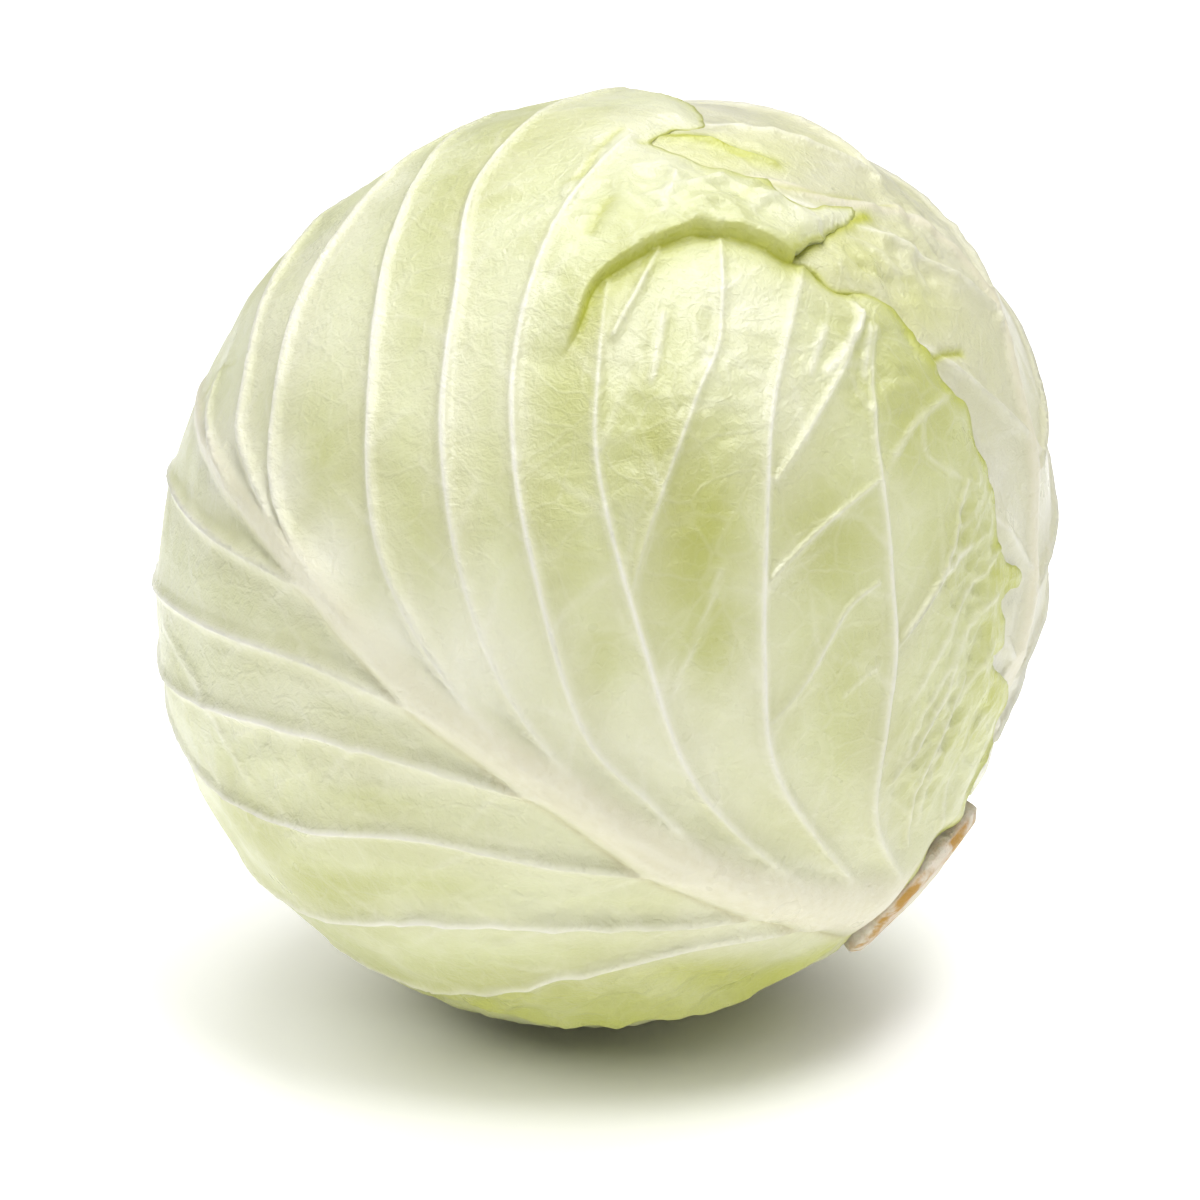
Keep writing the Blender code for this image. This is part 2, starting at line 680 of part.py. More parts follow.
def make_stalk(material):
    """The cut stalk: a short butt that widens to its cut face, with a slightly uneven rim."""
    turn = np.arange(STALK_SIDES) * 2 * math.pi / STALK_SIDES
    uneven = 1 + 0.025 * np.sin(2 * turn + 0.6) + 0.015 * np.sin(5 * turn + 2.0)
    aside = np.cos(turn)[:, None] * FRONT + np.sin(turn)[:, None] * UPPER
    spread = STALK_RADIUS / STALK_END
    rows = []
    for share in (0.45, 0.92):
        ways = unit(STALK + spread * share * uneven[:, None] * aside)
        rows.append(ways * (heart_radius(ways, all_depths(ways)) + STALK_ROOT_GAP)[:, None])
    for share, drop in STALK_PROFILE:
        on_cut = STALK_RADIUS * share * uneven[:, None] * aside
        height = STALK_END - drop - CUT_TILT * (on_cut @ STUMP_UP) + CUT_DOME * (1 - share**2)
        rows.append(height[:, None] * STALK + on_cut)
    root = STALK * float(heart_radius(STALK[None], all_depths(STALK[None]))[0] + STALK_ROOT_GAP)
    points = np.vstack(rows + [root[None], (STALK * (STALK_END + CUT_DOME))[None]])
    faces = []
    last = len(rows) - 1
    root_index, top_index = len(points) - 2, len(points) - 1
    for i in range(STALK_SIDES):
        j = (i + 1) % STALK_SIDES
        faces.append((root_index, i, j))
        faces.append((top_index, last * STALK_SIDES + j, last * STALK_SIDES + i))
        for row in range(last):
            a, b = row * STALK_SIDES, (row + 1) * STALK_SIDES
            faces.append((a + j, a + i, b + i, b + j))
    return new_object("stalk", points + MIDDLE, faces, material)


for old in list(bpy.data.objects):
    bpy.data.objects.remove(old, do_unlink=True)
COLLECTION = bpy.data.collections.new("cabbage_head")
bpy.context.scene.collection.children.link(COLLECTION)

make_heart(new_material("inner_leaves", (0.80, 0.82, 0.58), 0.5))
make_stalk(new_material("cut_stalk", (0.76, 0.68, 0.55), 0.7))
LEAF_COLOURS = {
    "leaf_crown": (0.74, 0.79, 0.55),
    "leaf_lower": (0.69, 0.75, 0.44),
    "leaf_back": (0.72, 0.77, 0.50),
    "leaf_right": (0.80, 0.80, 0.70),
    "leaf_front": (0.71, 0.76, 0.48),
}
for order, wrapper in enumerate(LEAVES):
    make_leaf(wrapper, order, new_material(wrapper.name, LEAF_COLOURS[wrapper.name], 0.42))
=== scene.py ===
"""Looks of a head of white cabbage lying on its side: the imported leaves, heart and
cut stalk are replaced one by one with finer pieces of the same form, which carry
thin wavy margins, branching veins, crinkled blades and procedural materials.

Lengths are millimetres until a mesh is written. Every surface is a distance from
the middle of the head for each direction, by the same rules as the part's solids.
"""
import math

import bmesh
import bpy
import numpy as np
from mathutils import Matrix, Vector
from mathutils.geometry import delaunay_2d_cdt


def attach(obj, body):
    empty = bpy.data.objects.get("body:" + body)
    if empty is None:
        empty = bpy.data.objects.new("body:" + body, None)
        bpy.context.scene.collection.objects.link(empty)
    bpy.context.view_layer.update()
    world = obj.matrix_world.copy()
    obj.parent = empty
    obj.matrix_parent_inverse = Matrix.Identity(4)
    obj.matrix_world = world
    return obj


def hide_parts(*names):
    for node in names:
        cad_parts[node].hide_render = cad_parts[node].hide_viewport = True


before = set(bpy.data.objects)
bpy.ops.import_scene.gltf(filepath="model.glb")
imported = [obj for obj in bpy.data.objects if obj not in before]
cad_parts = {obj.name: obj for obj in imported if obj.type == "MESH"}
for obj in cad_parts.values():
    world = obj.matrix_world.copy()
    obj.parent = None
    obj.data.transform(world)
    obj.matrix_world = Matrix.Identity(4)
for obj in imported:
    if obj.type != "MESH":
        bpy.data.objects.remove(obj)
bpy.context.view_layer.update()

# The head, as in the part's source
RADIUS_ACROSS = 101.8
RADIUS_ALONG = 91.8
SWELL = 0.8
SWELL_FINENESS = 3.0
SWELL_SEED = 21
MIDDLE_HEIGHT = 98.7
MIDDLE = (-0.65, 0.76, MIDDLE_HEIGHT)
REST_SINK = 0.15
STALK_AXIS = (0.69, -0.28, -0.66)
SHORT_AXIS = (0.89, -0.21, -0.41)
UNEVEN_SIDES = (
    # a direction on the head, how far its surface stands out there, and over what share of the radius
    ((-0.52, -0.23, -0.82), -2.6, 0.40),
    ((0.86, 0.15, 0.48), 1.8, 0.30),
)
STALK_RADIUS = 20.5
STALK_END = 95.2
STALK_ROOT_GAP = 0.5
CUT_TILT = 0.077
CUT_DOME = 1.8
COLLAR = 2.6
COLLAR_END_DEG = 25.0

# The leaves, as in the part's source
BLADE = 1.4
GAP = 0.8
HEART_GAP = 0.7
LIFT = 0.6
LIFT_WIDTH = 14.0
RUFFLE = 0.55
RUFFLE_FINENESS = 14.0
RUFFLE_SEED = 31
BASE_CLEARANCE_DEG = 13.2
WAVE_DEG = 1.3
TENT_START = 8.0
TENT_END = 36.0
HEART_EASE = 4.0
COVER_START = 2.0
COVER_WIDTH = 14.0
NEAR_WIDTH = 26.0
COVERED_RIB = 0.7
COVERED_THINNING = 0.35
TALL_RIB = 7.0
FOLD_DROP = 1.0

# Finer forms that only the looks have
FINE_STEP = 1.0
COARSE_STEP = 5.0
LINE_STEP = 0.9
MARGIN_EDGE = 0.45
MARGIN_THIN_WIDTH = 7.0
NOTCH = 0.7
CURL = 0.45
STUMP_RAISE = 1.4
CRINKLE = 0.17
PUCKER = 0.42

SIGHT_DOWN_DEG = 16.0
EYE_DISTANCE = 900.0
LIMB = 0.985
MM = 0.001
DEGREE = math.pi / 180


def unit(vector):
    vector = np.asarray(vector, float)
    return vector / np.linalg.norm(vector, axis=-1, keepdims=True)


def smooth(x):
    x = np.clip(x, 0.0, 1.0)
    return x * x * (3 - 2 * x)


SIGHT = SIGHT_DOWN_DEG * DEGREE
TO_EYE = np.array((0.0, -math.cos(SIGHT), math.sin(SIGHT)))
SKETCH_UP = np.array((0.0, math.sin(SIGHT), math.cos(SIGHT)))
SKETCH_RIGHT = np.array((1.0, 0.0, 0.0))
STALK = unit(STALK_AXIS)
SHORT = unit(SHORT_AXIS)


def swell(ways, seed, fineness, waves=6):
    """A slow rise and fall over the ball, between about -1 and 1."""
    draw = np.random.default_rng(seed)
    heading = unit(draw.normal(size=(waves, 3))) * draw.uniform(0.5, 1.5, (waves, 1)) * fineness
    phase = draw.uniform(0, 2 * math.pi, waves)
    return np.sin(ways @ heading.T + phase).mean(axis=-1) * 1.6


def head_radius(way):
    along = way @ SHORT
    flattened = RADIUS_ACROSS - (RADIUS_ACROSS - RADIUS_ALONG) * along**2
    radius = flattened + SWELL * swell(way, SWELL_SEED, SWELL_FINENESS)
    for towards, amount, spread in UNEVEN_SIDES:
        away = np.linalg.norm(way - unit(towards), axis=-1) / spread
        radius = radius + amount * np.exp(-(away**2))
    down = np.maximum(-way[..., 2], 1e-6)
    return np.minimum(radius, (MIDDLE_HEIGHT + REST_SINK) / down)


def cast(sketch):
    """The directions in which the eye sees these sketch points on the head."""
    ways = []
    for right, up in sketch:
        across = math.hypot(right, up)
        radius = RADIUS_ACROSS
        for _ in range(4):
            limb = LIMB * radius / math.sqrt(1 - (radius / EYE_DISTANCE) ** 2)
            scale = min(1.0, limb / max(across, 1e-6))
            on_plane = scale * (right * SKETCH_RIGHT + up * SKETCH_UP)
            eye = EYE_DISTANCE * TO_EYE
            ray = unit(on_plane - eye)
            half = -(eye @ ray)
            inside = half**2 - EYE_DISTANCE**2 + radius**2
            hit = eye + (half - math.sqrt(max(inside, 0.0))) * ray
            radius = float(head_radius(unit(hit)))
        ways.append(unit(hit))
    return ways


def sketched(ways):
    """Where the eye sees these directions in the sketch, and whether they face it."""
    points = ways * head_radius(ways)[:, None]
    towards = points @ TO_EYE
    scale = EYE_DISTANCE / (EYE_DISTANCE - towards)
    flat = np.stack([points @ SKETCH_RIGHT, points @ SKETCH_UP], axis=-1) * scale[:, None]
    return flat, smooth(towards / 12.0)


class Chart:
    """A flat chart of the ball: each point is put as many degrees from the chart's
    middle as it lies from it on the ball, and towards the same side."""

    def __init__(self, middle, up):
        self.out = unit(middle)
        self.up = unit(np.asarray(up) - (np.asarray(up) @ self.out) * self.out)
        self.right = np.cross(self.up, self.out)

    def to_ball(self, flat):
        flat = np.asarray(flat, float)
        reach = np.maximum(np.hypot(flat[:, 0], flat[:, 1]), 1e-9)
        sideways = (flat[:, :1] * self.right + flat[:, 1:2] * self.up) / reach[:, None]
        turn = reach[:, None] * DEGREE
        return np.cos(turn) * self.out + np.sin(turn) * sideways

    def to_flat(self, ways):
        right, up = ways @ self.right, ways @ self.up
        across = np.maximum(np.hypot(right, up), 1e-12)
        reach = np.arctan2(across, ways @ self.out) / DEGREE
        return np.stack([right / across * reach, up / across * reach], axis=-1)

    def polar(self, pairs):
        flat = [(reach * math.cos(a * DEGREE), reach * math.sin(a * DEGREE)) for a, reach in pairs]
        return list(self.to_ball(flat))


def curve(ways, step, closed=False):
    """A smooth line over the ball through these directions, with a point about every step millimetres."""
    ways = [np.asarray(way) for way in ways]
    count = len(ways)
    spans = count if closed else count - 1
    points = []
    for i in range(spans):
        if closed:
            a, b, c, d = (ways[(i + shift) % count] for shift in (-1, 0, 1, 2))
        else:
            a, b, c, d = (ways[min(max(i + shift, 0), count - 1)] for shift in (-1, 0, 1, 2))
        pieces = max(1, round(np.linalg.norm(c - b) * RADIUS_ACROSS / step))
        t = (np.arange(pieces) / pieces)[:, None]
        points.append(
            b
            + 0.5 * t * (c - a)
            + t * t * (a - 2.5 * b + 2 * c - 0.5 * d)
            + t**3 * (1.5 * (b - c) + 0.5 * (d - a))
        )
    if not closed:
        points.append(ways[-1][None])
    return unit(np.vstack(points))


def closest(ways, points):
    """For each direction, which of the points is nearest."""
    found = np.empty(len(ways), np.int64)
    table = points.astype(np.float32).T
    rows = max(1, 400_000 // len(points))
    for start in range(0, len(ways), rows):
        part = slice(start, start + rows)
        found[part] = (ways[part].astype(np.float32) @ table).argmax(axis=1)
    return found


def nearest(ways, line):
    """For each direction, its distance from a closely drawn line in millimetres, negative
    to the line's right, and how far along the line the nearest place is, from 0 to 1."""
    run = line[1:] - line[:-1]
    length = np.linalg.norm(run, axis=1)
    before = np.concatenate([[0.0], np.cumsum(length)])
    index = closest(ways, line)
    best_distance = np.full(len(ways), np.inf)
    best_side = np.ones(len(ways))
    best_share = np.zeros(len(ways))
    for shift in (-1, 0):
        span = np.clip(index + shift, 0, len(run) - 1)
        from_start = ways - line[span]
        along = np.clip((from_start * run[span]).sum(axis=1) / length[span] ** 2, 0.0, 1.0)
        away = from_start - along[:, None] * run[span]
        distance = np.linalg.norm(away, axis=1)
        side = np.where((away * np.cross(ways, run[span])).sum(axis=1) < 0, -1.0, 1.0)
        better = distance < best_distance
        best_distance = np.where(better, distance, best_distance)
        best_side = np.where(better, side, best_side)
        best_share = np.where(better, before[span] + along * length[span], best_share)
    return best_side * best_distance * RADIUS_ACROSS, best_share / before[-1]


def within(flat, ring):
    """Whether points of a chart lie inside a closed ring."""
    x0, y0 = ring.T
    x1, y1 = np.roll(ring, -1, axis=0).T
    rise = np.where(np.abs(y1 - y0) < 1e-12, 1e-12, y1 - y0)
    inside = np.empty(len(flat), bool)
    rows = max(1, 200_000 // len(ring))
    for start in range(0, len(flat), rows):
        x, y = flat[start:start + rows, :1], flat[start:start + rows, 1:]
        crosses = (y0 > y) != (y1 > y)
        reached = x < (x1 - x0) * (y - y0) / rise + x0
        inside[start:start + rows] = (crosses & reached).sum(axis=1) % 2 == 1
    return inside


class Rib:
    """A raised vein, from its root to its end."""

    def __init__(self, ways, widths, heights):
        self.line = curve(ways, LINE_STEP)
        self.widths = widths
        self.heights = heights

    def shape(self, share, values):
        return np.interp(share, np.linspace(0, 1, len(values)), values)

    def guides(self):
        run = np.gradient(self.line, axis=0)
        left = unit(np.cross(self.line, run))
        half = (self.shape(np.linspace(0, 1, len(self.line)), self.widths) / RADIUS_ACROSS)[:, None]
        return [unit(self.line + offset * half * left) for offset in (0.0, -0.4, 0.4, -0.9, 0.9)]

    def read(self, ways):
        """Distance, half width and height at each direction, for the part of the leaf near the vein."""
        distance, share = nearest(ways, self.line)
        return distance, self.shape(share, self.widths), self.shape(share, self.heights), share


class Fold:
    """A place where the leaf is pleated over itself: a lip, and a slow fall behind it
    on the line's left."""

    def __init__(self, ways, heights, width):
        self.line = curve(ways, LINE_STEP)
        self.heights = heights
        self.width = width

    def guides(self):
        run = np.gradient(self.line, axis=0)
        left = unit(np.cross(self.line, run)) / RADIUS_ACROSS
        return [unit(self.line + offset * left) for offset in (-1.1, -0.75, -0.4, 0.0, 0.5, 1.1)]

    def read(self, ways):
        distance, share = nearest(ways, self.line)
        return distance, np.interp(share, np.linspace(0, 1, len(self.heights)), self.heights), share

    def relief(self, ways):
        distance, height, _ = self.read(ways)
        behind = 1 - smooth(distance / self.width)
        before = 1 + np.clip(distance / (0.75 * FOLD_DROP), -1.0, 0.0)
        roll = 0.45 * np.exp(-((distance - 1.5) / 1.3) ** 2) * smooth(height / 1.2)
        gutter = 0.5 * np.exp(-((distance + 1.6) / 1.1) ** 2) * smooth(height / 1.2)
        return height * np.where(distance < 0, before, behind) + roll - gutter


class Leaf:
    """One wrapper leaf: its chart, its outline, and the ribs and folds on its outer face."""

    def __init__(self, name, chart, outline, ribs, folds=(), seed=0):
        self.name = name
        self.chart = chart
        self.seed = seed
        self.outline = self.notched(clear_of_stalk(curve(outline, LINE_STEP, closed=True)))
        self.ribs = ribs
        self.folds = folds

    def notched(self, line):
        """The outline with the small notches and lobes of a real margin, away from the stalk."""
        run = np.roll(line, -1, axis=0) - np.roll(line, 1, axis=0)
        aside = unit(np.cross(line, run))
        off_base = smooth((np.arccos(np.clip(line @ STALK, -1, 1)) / DEGREE - 24.0) / 12.0)
        move = 0.65 * swell(line, 900 + self.seed, 75.0) + 0.35 * swell(line, 950 + self.seed, 190.0)
        move = move * (1 + 1.6 * smooth((-line[:, 2] - 0.55) / 0.3))
        return unit(line + aside * (NOTCH * move * off_base / RADIUS_ACROSS)[:, None])

    def depth(self, ways):
        """How far inside the outline each direction is, in millimetres; negative outside."""
        ring = np.vstack([self.outline, self.outline[:1]])
        distance = np.abs(nearest(ways, ring)[0])
        flat = self.chart.to_flat(ways)
        corners = self.chart.to_flat(self.outline)
        inside = within(flat, corners[::5])
        close = distance < 5.0
        inside[close] = within(flat[close], corners)
        return np.where(inside, distance, -distance)


def clear_of_stalk(ways):
    along = np.clip(ways @ STALK, -1, 1)
    aside = unit(ways - along[:, None] * STALK)
    turn = np.maximum(np.arccos(along), BASE_CLEARANCE_DEG * DEGREE)[:, None]
    return np.cos(turn) * STALK + np.sin(turn) * aside


FRONT = unit(TO_EYE - (TO_EYE @ STALK) * STALK)
UPPER = np.cross(FRONT, STALK)
STUMP_UP = unit(np.cross(TO_EYE, STALK))


def around(turn_deg, from_stalk_deg):
    turn, bend = turn_deg * DEGREE, from_stalk_deg * DEGREE
    aside = math.cos(turn) * FRONT + math.sin(turn) * UPPER
    return math.cos(bend) * STALK + math.sin(bend) * aside


def waved(pairs, seed, depth=WAVE_DEG):
    """An outline in (angle, reach) pairs, closed smoothly, with the small waves of a leaf's margin."""
    draw = np.random.default_rng(seed)
    angles = np.array([a for a, _ in pairs], float)
    reaches = np.array([r for _, r in pairs], float)
    fine = np.arange(0.0, 360.0, 5.0)
    reach = np.interp(fine, angles, reaches, period=360.0)
    for count in (9, 14, 23):
        height, phase = depth * draw.uniform(0.4, 0.9), draw.uniform(0, 2 * math.pi)
        reach += height * np.sin(count * fine * DEGREE + phase)
    return list(zip(fine, reach))


def bowed(chart, start, end, bow, steps=4):
    """Directions along a vein that leaves its root sideways and bends towards the tip."""
    start, end = np.array(start, float), np.array(end, float)
    middle = start + (0.35, bow) * (end - start)
    shares = np.linspace(0, 1, steps + 1)[:, None]
    flat = (1 - shares) ** 2 * start + 2 * shares * (1 - shares) * middle + shares**2 * end
    return list(chart.to_ball(flat))


# Paired veins in degrees on a leaf's chart: the root's height on the midrib, then the
# angle of the far end from the chart's right and how far that end is from its middle
VEIN_STAGGER_DEG = 2.0
VEINS = (
    (-62.0, -22.0, 66.0),
    (-54.0, 2.0, 68.0),
    (-42.0, 20.0, 70.0),
    (-26.0, 37.0, 70.0),
    (-8.0, 53.0, 70.0),
    (14.0, 68.0, 68.0),
)


def hidden_leaf(name, turn_deg, from_stalk_deg, tip, side, seed, sway=0.0):
    """A wrapper leaf built by rule: an egg-shaped blade, a midrib from the stalk to
    the tip, and paired veins. Sway bends the midrib, in degrees."""
    chart = Chart(around(turn_deg, from_stalk_deg), -STALK)
    base = from_stalk_deg - BASE_CLEARANCE_DEG
    pairs = [
        (0, side), (30, 0.5 * (side + tip)), (60, 0.3 * side + 0.7 * tip), (90, tip),
        (120, 0.3 * side + 0.7 * tip), (150, 0.5 * (side + tip)), (180, side), (215, side + 2),
        (240, side), (255, base + 4), (270, base), (285, base + 4), (300, side), (325, side + 2),
    ]
    outline = chart.polar(waved(pairs, seed))
    midrib = [
        (0, -base),
        (0.3 * sway, -0.55 * base),
        (0.8 * sway, 0.0),
        (sway, 0.5 * tip),
        (0.6 * sway, 0.9 * tip),
    ]
    midrib_x, midrib_y = zip(*midrib)
    ribs = [Rib(chart.to_ball(midrib), (11.0, 6.5, 5.0, 3.5, 1.8), (3.2, 2.6, 1.8, 1.2, 0.5))]
    for root, angle, reach in VEINS:
        for hand in (1, -1):
            end_x = hand * reach * math.cos(angle * DEGREE) + 0.5 * sway
            end_y = reach * math.sin(angle * DEGREE)
            root_x = float(np.interp(root, midrib_y, midrib_x))
            root_y = root + VEIN_STAGGER_DEG * (hand < 0)
            ways = bowed(chart, (root_x, root_y), (end_x, end_y), 0.2)
            ribs.append(Rib(ways, (2.6, 1.8, 1.5), (1.1, 0.9, 0.4)))
    return Leaf(name, chart, outline, ribs, seed=seed)


def right_leaf():
    """The pale leaf on the right: its margin shows past the front leaf, and a cream midrib edges it."""
    leaf = hidden_leaf("leaf_right", 72.0, 84.0, 86.0, 80.0, seed=11)
    cream_midrib = [
        (87, -37), (91, -15), (93, 4), (91, 26), (88, 39), (82, 56), (67, 73), (51, 78), (34, 83),
    ]
    leaf.ribs[0] = Rib(cast(cream_midrib), (6.0, 4.0, 3.2, 2.6, 1.8), (2.4, 1.6, 1.2, 1.0, 0.6))
    rolled_strip = [(5, 93), (13, 92), (22, 91), (31, 88), (37, 86)]
    leaf.ribs.append(Rib(cast(rolled_strip), (2.6, 2.8, 2.2), (1.2, 1.8, 0.8)))
    wedge = cast([(38, 67), (46, 63), (50, 59), (57, 58), (62, 55)])
    leaf.folds = [Fold(wedge, (2.6, 3.0, 2.8, 2.0, 0.0), 22.0)]
    return leaf


def onward(line, length=34.0):
    """A vein of the sketch, carried on past the head's edge where it ends on the left there."""
    ways = cast(line)
    if line[-1][0] > -10.0 or math.hypot(*line[-1]) < 92.5:
        return ways
    run = unit(ways[-1] - ways[-2])
    for _ in range(3):
        step = unit(ways[-1] + run * length / 3 / RADIUS_ACROSS)
        run = unit(step - ways[-1])
        ways.append(step)
    return ways


def front_leaf():
    """The outermost leaf. Its midrib runs from the stalk across the front to the far left."""
    chart = Chart(TO_EYE, SKETCH_UP)
    ruffled_margin = [
        (79, -51), (82, -43), (84, -37), (87, -36), (89, -29), (84, -22), (87, -18),
        (86, -9), (90, -5), (90, -2), (86, 2), (84, 16), (81, 25), (79, 33), (75, 37),
        (69, 46), (61, 55),
    ]
    over_edge = [(57, 57), (50, 58), (45, 62), (41, 65)]
    rolled_tip = [(46, 69), (53, 73), (55, 76), (52, 77), (44, 77), (38, 79)]
    upper_margin = [(34, 82), (24, 85), (17, 88), (11, 90.5), (15, 93), (22, 95.5)]
    far_side = [
        (88, 97), (96, 102), (103, 99), (112, 104), (120, 101), (131, 105), (139, 101),
        (149, 106), (158, 103), (168, 108), (178, 104), (189, 108), (199, 104), (209, 107),
        (219, 101), (229, 103), (239, 97), (248, 98), (257, 91),
    ]
    lower_margin = [
        (262, 88), (266, 85), (271, 87), (275, 84), (280, 86), (284, 82), (289, 83), (293, 79),
    ]
    outline = cast(ruffled_margin + over_edge + rolled_tip + upper_margin)
    outline += chart.polar(far_side + lower_margin) + around_base()

    midrib = [
        (63, -72), (39, -71), (13, -62), (-8, -49), (-34, -32), (-54, -13), (-66, 1),
        (-81, 19), (-88, 33),
    ]
    midrib_widths = (14.0, 8.0, 7.0, 5.5, 4.6, 3.6, 2.4, 1.6)
    midrib_heights = (4.0, 4.2, 3.8, 3.2, 2.4, 1.6, 0.9, 0.4)
    ribs = [Rib(onward(midrib), midrib_widths, midrib_heights)]
    upper_veins = [
        [(-79, 16), (-84, 30), (-82, 41)],
        [(-64, -1), (-75, 20), (-77, 28), (-74, 44), (-64, 68)],
        [(-54, -13), (-67, 7), (-70, 19), (-68, 37), (-60, 63), (-45, 82)],
        [(-14, -45), (-29, -30), (-44, -6), (-49, 13), (-49, 36), (-45, 68), (-32, 90)],
        [(4, -56), (-18, -31), (-29, -5), (-34, 28), (-31, 58), (-27, 80), (-11, 96)],
        [(28, -67), (10, -51), (-4, -36), (-14, -4), (-19, 24), (-18, 48), (-8, 75), (6, 91)],
        [(42, -68), (20, -48), (8, -16), (-1, 19), (-1, 41), (1, 60)],
        [(52, -67), (37, -46), (34, -20), (35, 15), (37, 37), (43, 64)],
        [(61, -65), (57, -52), (62, -19), (61, 0), (58, 29), (58, 50)],
    ]
    lower_veins = [
        [(-62, -6), (-84, 6), (-93, 17)],
        [(-34, -34), (-62, -22), (-84, -14), (-97, -6)],
        [(-14, -50), (-45, -42), (-71, -35), (-93, -25)],
        [(16, -66), (-8, -65), (-40, -59), (-68, -56), (-91, -41)],
        [(34, -74), (-8, -78), (-40, -77), (-65, -74)],
        [(44, -76), (19, -82), (-9, -89), (-36, -91)],
    ]
    branches = [
        [(2, 48), (8, 59), (12, 67)],
        [(6, -8), (10, 7), (20, 35), (25, 48), (25, 69)],
        [(37, 17), (43, 26), (54, 47), (55, 53)],
        [(35, -5), (47, 7), (59, 17)],
        [(36, -34), (43, -26), (52, -11), (59, -5)],
        [(63, -18), (73, -2), (78, 17)],
        [(64, -60), (66, -51), (73, -36), (78, -25)],
        [(61, -47), (67, -40), (72, -31), (75, -23)],
        [(77, -52), (80, -45), (83, -39)],
    ]
    ribs += [Rib(onward(line), (3.0, 2.2, 1.8, 1.5), (1.6, 1.2, 0.9, 0.4)) for line in upper_veins]
    ribs += [Rib(onward(line), (3.2, 2.4, 1.6), (1.4, 1.1, 0.4)) for line in lower_veins]
    ribs += [Rib(cast(line), (1.6, 1.4), (0.8, 0.5)) for line in branches]

    curled_margin = [(48, -83), (30, -92), (10, -96), (-8, -98), (-26, -95)]
    ribs.append(Rib(cast(curled_margin), (5.0, 8.0, 9.0, 5.0), (1.0, 2.2, 2.2, 0.6)))

    arch = [(-10, 42), (-6, 50), (-2, 59), (6, 65), (17, 70), (27, 70), (40, 65)]
    folds = [Fold(cast(arch), (0.0, 1.4, 2.2, 2.6, 2.8, 2.8, 2.6), 30.0)]
    return Leaf("leaf_front", chart, outline, ribs, folds, seed=17)


def around_base():
    """The front leaf's base, which clasps the near side of the cut stalk."""
    return [around(turn, BASE_CLEARANCE_DEG) for turn in (-84, -60, -30, 0, 28, 46)]


LEAVES = [
    hidden_leaf("leaf_crown", 150.0, 104.0, 84.0, 72.0, seed=3, sway=4.0),
    hidden_leaf("leaf_lower", 268.0, 82.0, 82.0, 78.0, seed=5, sway=-5.0),
    hidden_leaf("leaf_back", 206.0, 88.0, 84.0, 80.0, seed=8, sway=5.0),
    right_leaf(),
    front_leaf(),
]


class Net:
    """Thin side veins that branch off the ribs and run until they meet the next one."""

    def __init__(self, leaf, seed, spacing=22.0, reach=18.0):
        draw = np.random.default_rng(seed)
        ribs = leaf.ribs[1:] if leaf.ribs else []
        every = np.vstack([rib.line for rib in leaf.ribs])
        owner = np.concatenate([np.full(len(rib.line), i) for i, rib in enumerate(leaf.ribs)])
        starts, heads, owners = [], [], []
        for number, rib in enumerate(ribs, start=1):
            line = rib.line
            length = len(line) * LINE_STEP
            at = draw.uniform(3.0, spacing)
            hand = 1
            while at < length - 4.0:
                i = min(int(at / LINE_STEP), len(line) - 2)
                run = unit(line[i + 1] - line[i])
                aside = unit(np.cross(line[i], run))
                lean = draw.uniform(26, 48) * DEGREE
                starts.append(line[i])
                heads.append(math.cos(lean) * run + hand * math.sin(lean) * aside)
                owners.append(number)
                at += spacing * draw.uniform(0.35, 0.9)
                hand = -hand
        here, head, own = np.array(starts), np.array(heads), np.array(owners)
        bend = draw.uniform(-0.035, 0.035, len(here))
        limit = draw.uniform(0.45, 1.0, len(here)) * reach
        alive = np.ones(len(here), bool)
        points, runs, sizes = [], [], []
        for step in range(int(reach / LINE_STEP)):
            share = np.clip(step * LINE_STEP / limit, 0, 1)
            points.append(here[alive])
            runs.append(head[alive])
            sizes.append((1 - 0.6 * share)[alive])
            wobble = bend + draw.uniform(-0.05, 0.05, len(here))
            aside = unit(np.cross(here, head))
            head = unit(head + wobble[:, None] * aside)
            here = unit(here + head * LINE_STEP / RADIUS_ACROSS)
            head = unit(head - (head * here).sum(axis=1)[:, None] * here)
            near = here @ every.T
            near[own[:, None] == owner[None, :]] = -1.0
            met = np.arccos(np.clip(near.max(axis=1), -1, 1)) * RADIUS_ACROSS < 0.7
            alive &= ~met & (step * LINE_STEP < limit)
            if not alive.any():
                break
        self.points = np.vstack(points)
        self.runs = np.vstack(runs)
        self.sizes = np.concatenate(sizes)

    def read(self, ways):
        """Distance from the nearest thin vein in millimetres, and that vein's size there."""
        index = closest(ways, self.points)
        away = ways - self.points[index]
        run = self.runs[index]
        along = np.clip((away * run).sum(axis=1), -0.6 / RADIUS_ACROSS, 0.6 / RADIUS_ACROSS)
        distance = np.linalg.norm(away - along[:, None] * run, axis=1) * RADIUS_ACROSS
        return distance, self.sizes[index]


def heart_radius(ways, depths):
    bend = np.arccos(np.clip(ways @ STALK, -1, 1)) / DEGREE
    outwards = (bend - BASE_CLEARANCE_DEG) / (COLLAR_END_DEG - BASE_CLEARANCE_DEG)
    radius = head_radius(ways) + COLLAR * (1 - smooth(outwards))
    for depth in depths:
        radius = radius - (BLADE + GAP) * smooth((depth + TENT_END) / (TENT_END + HEART_EASE))
    return radius


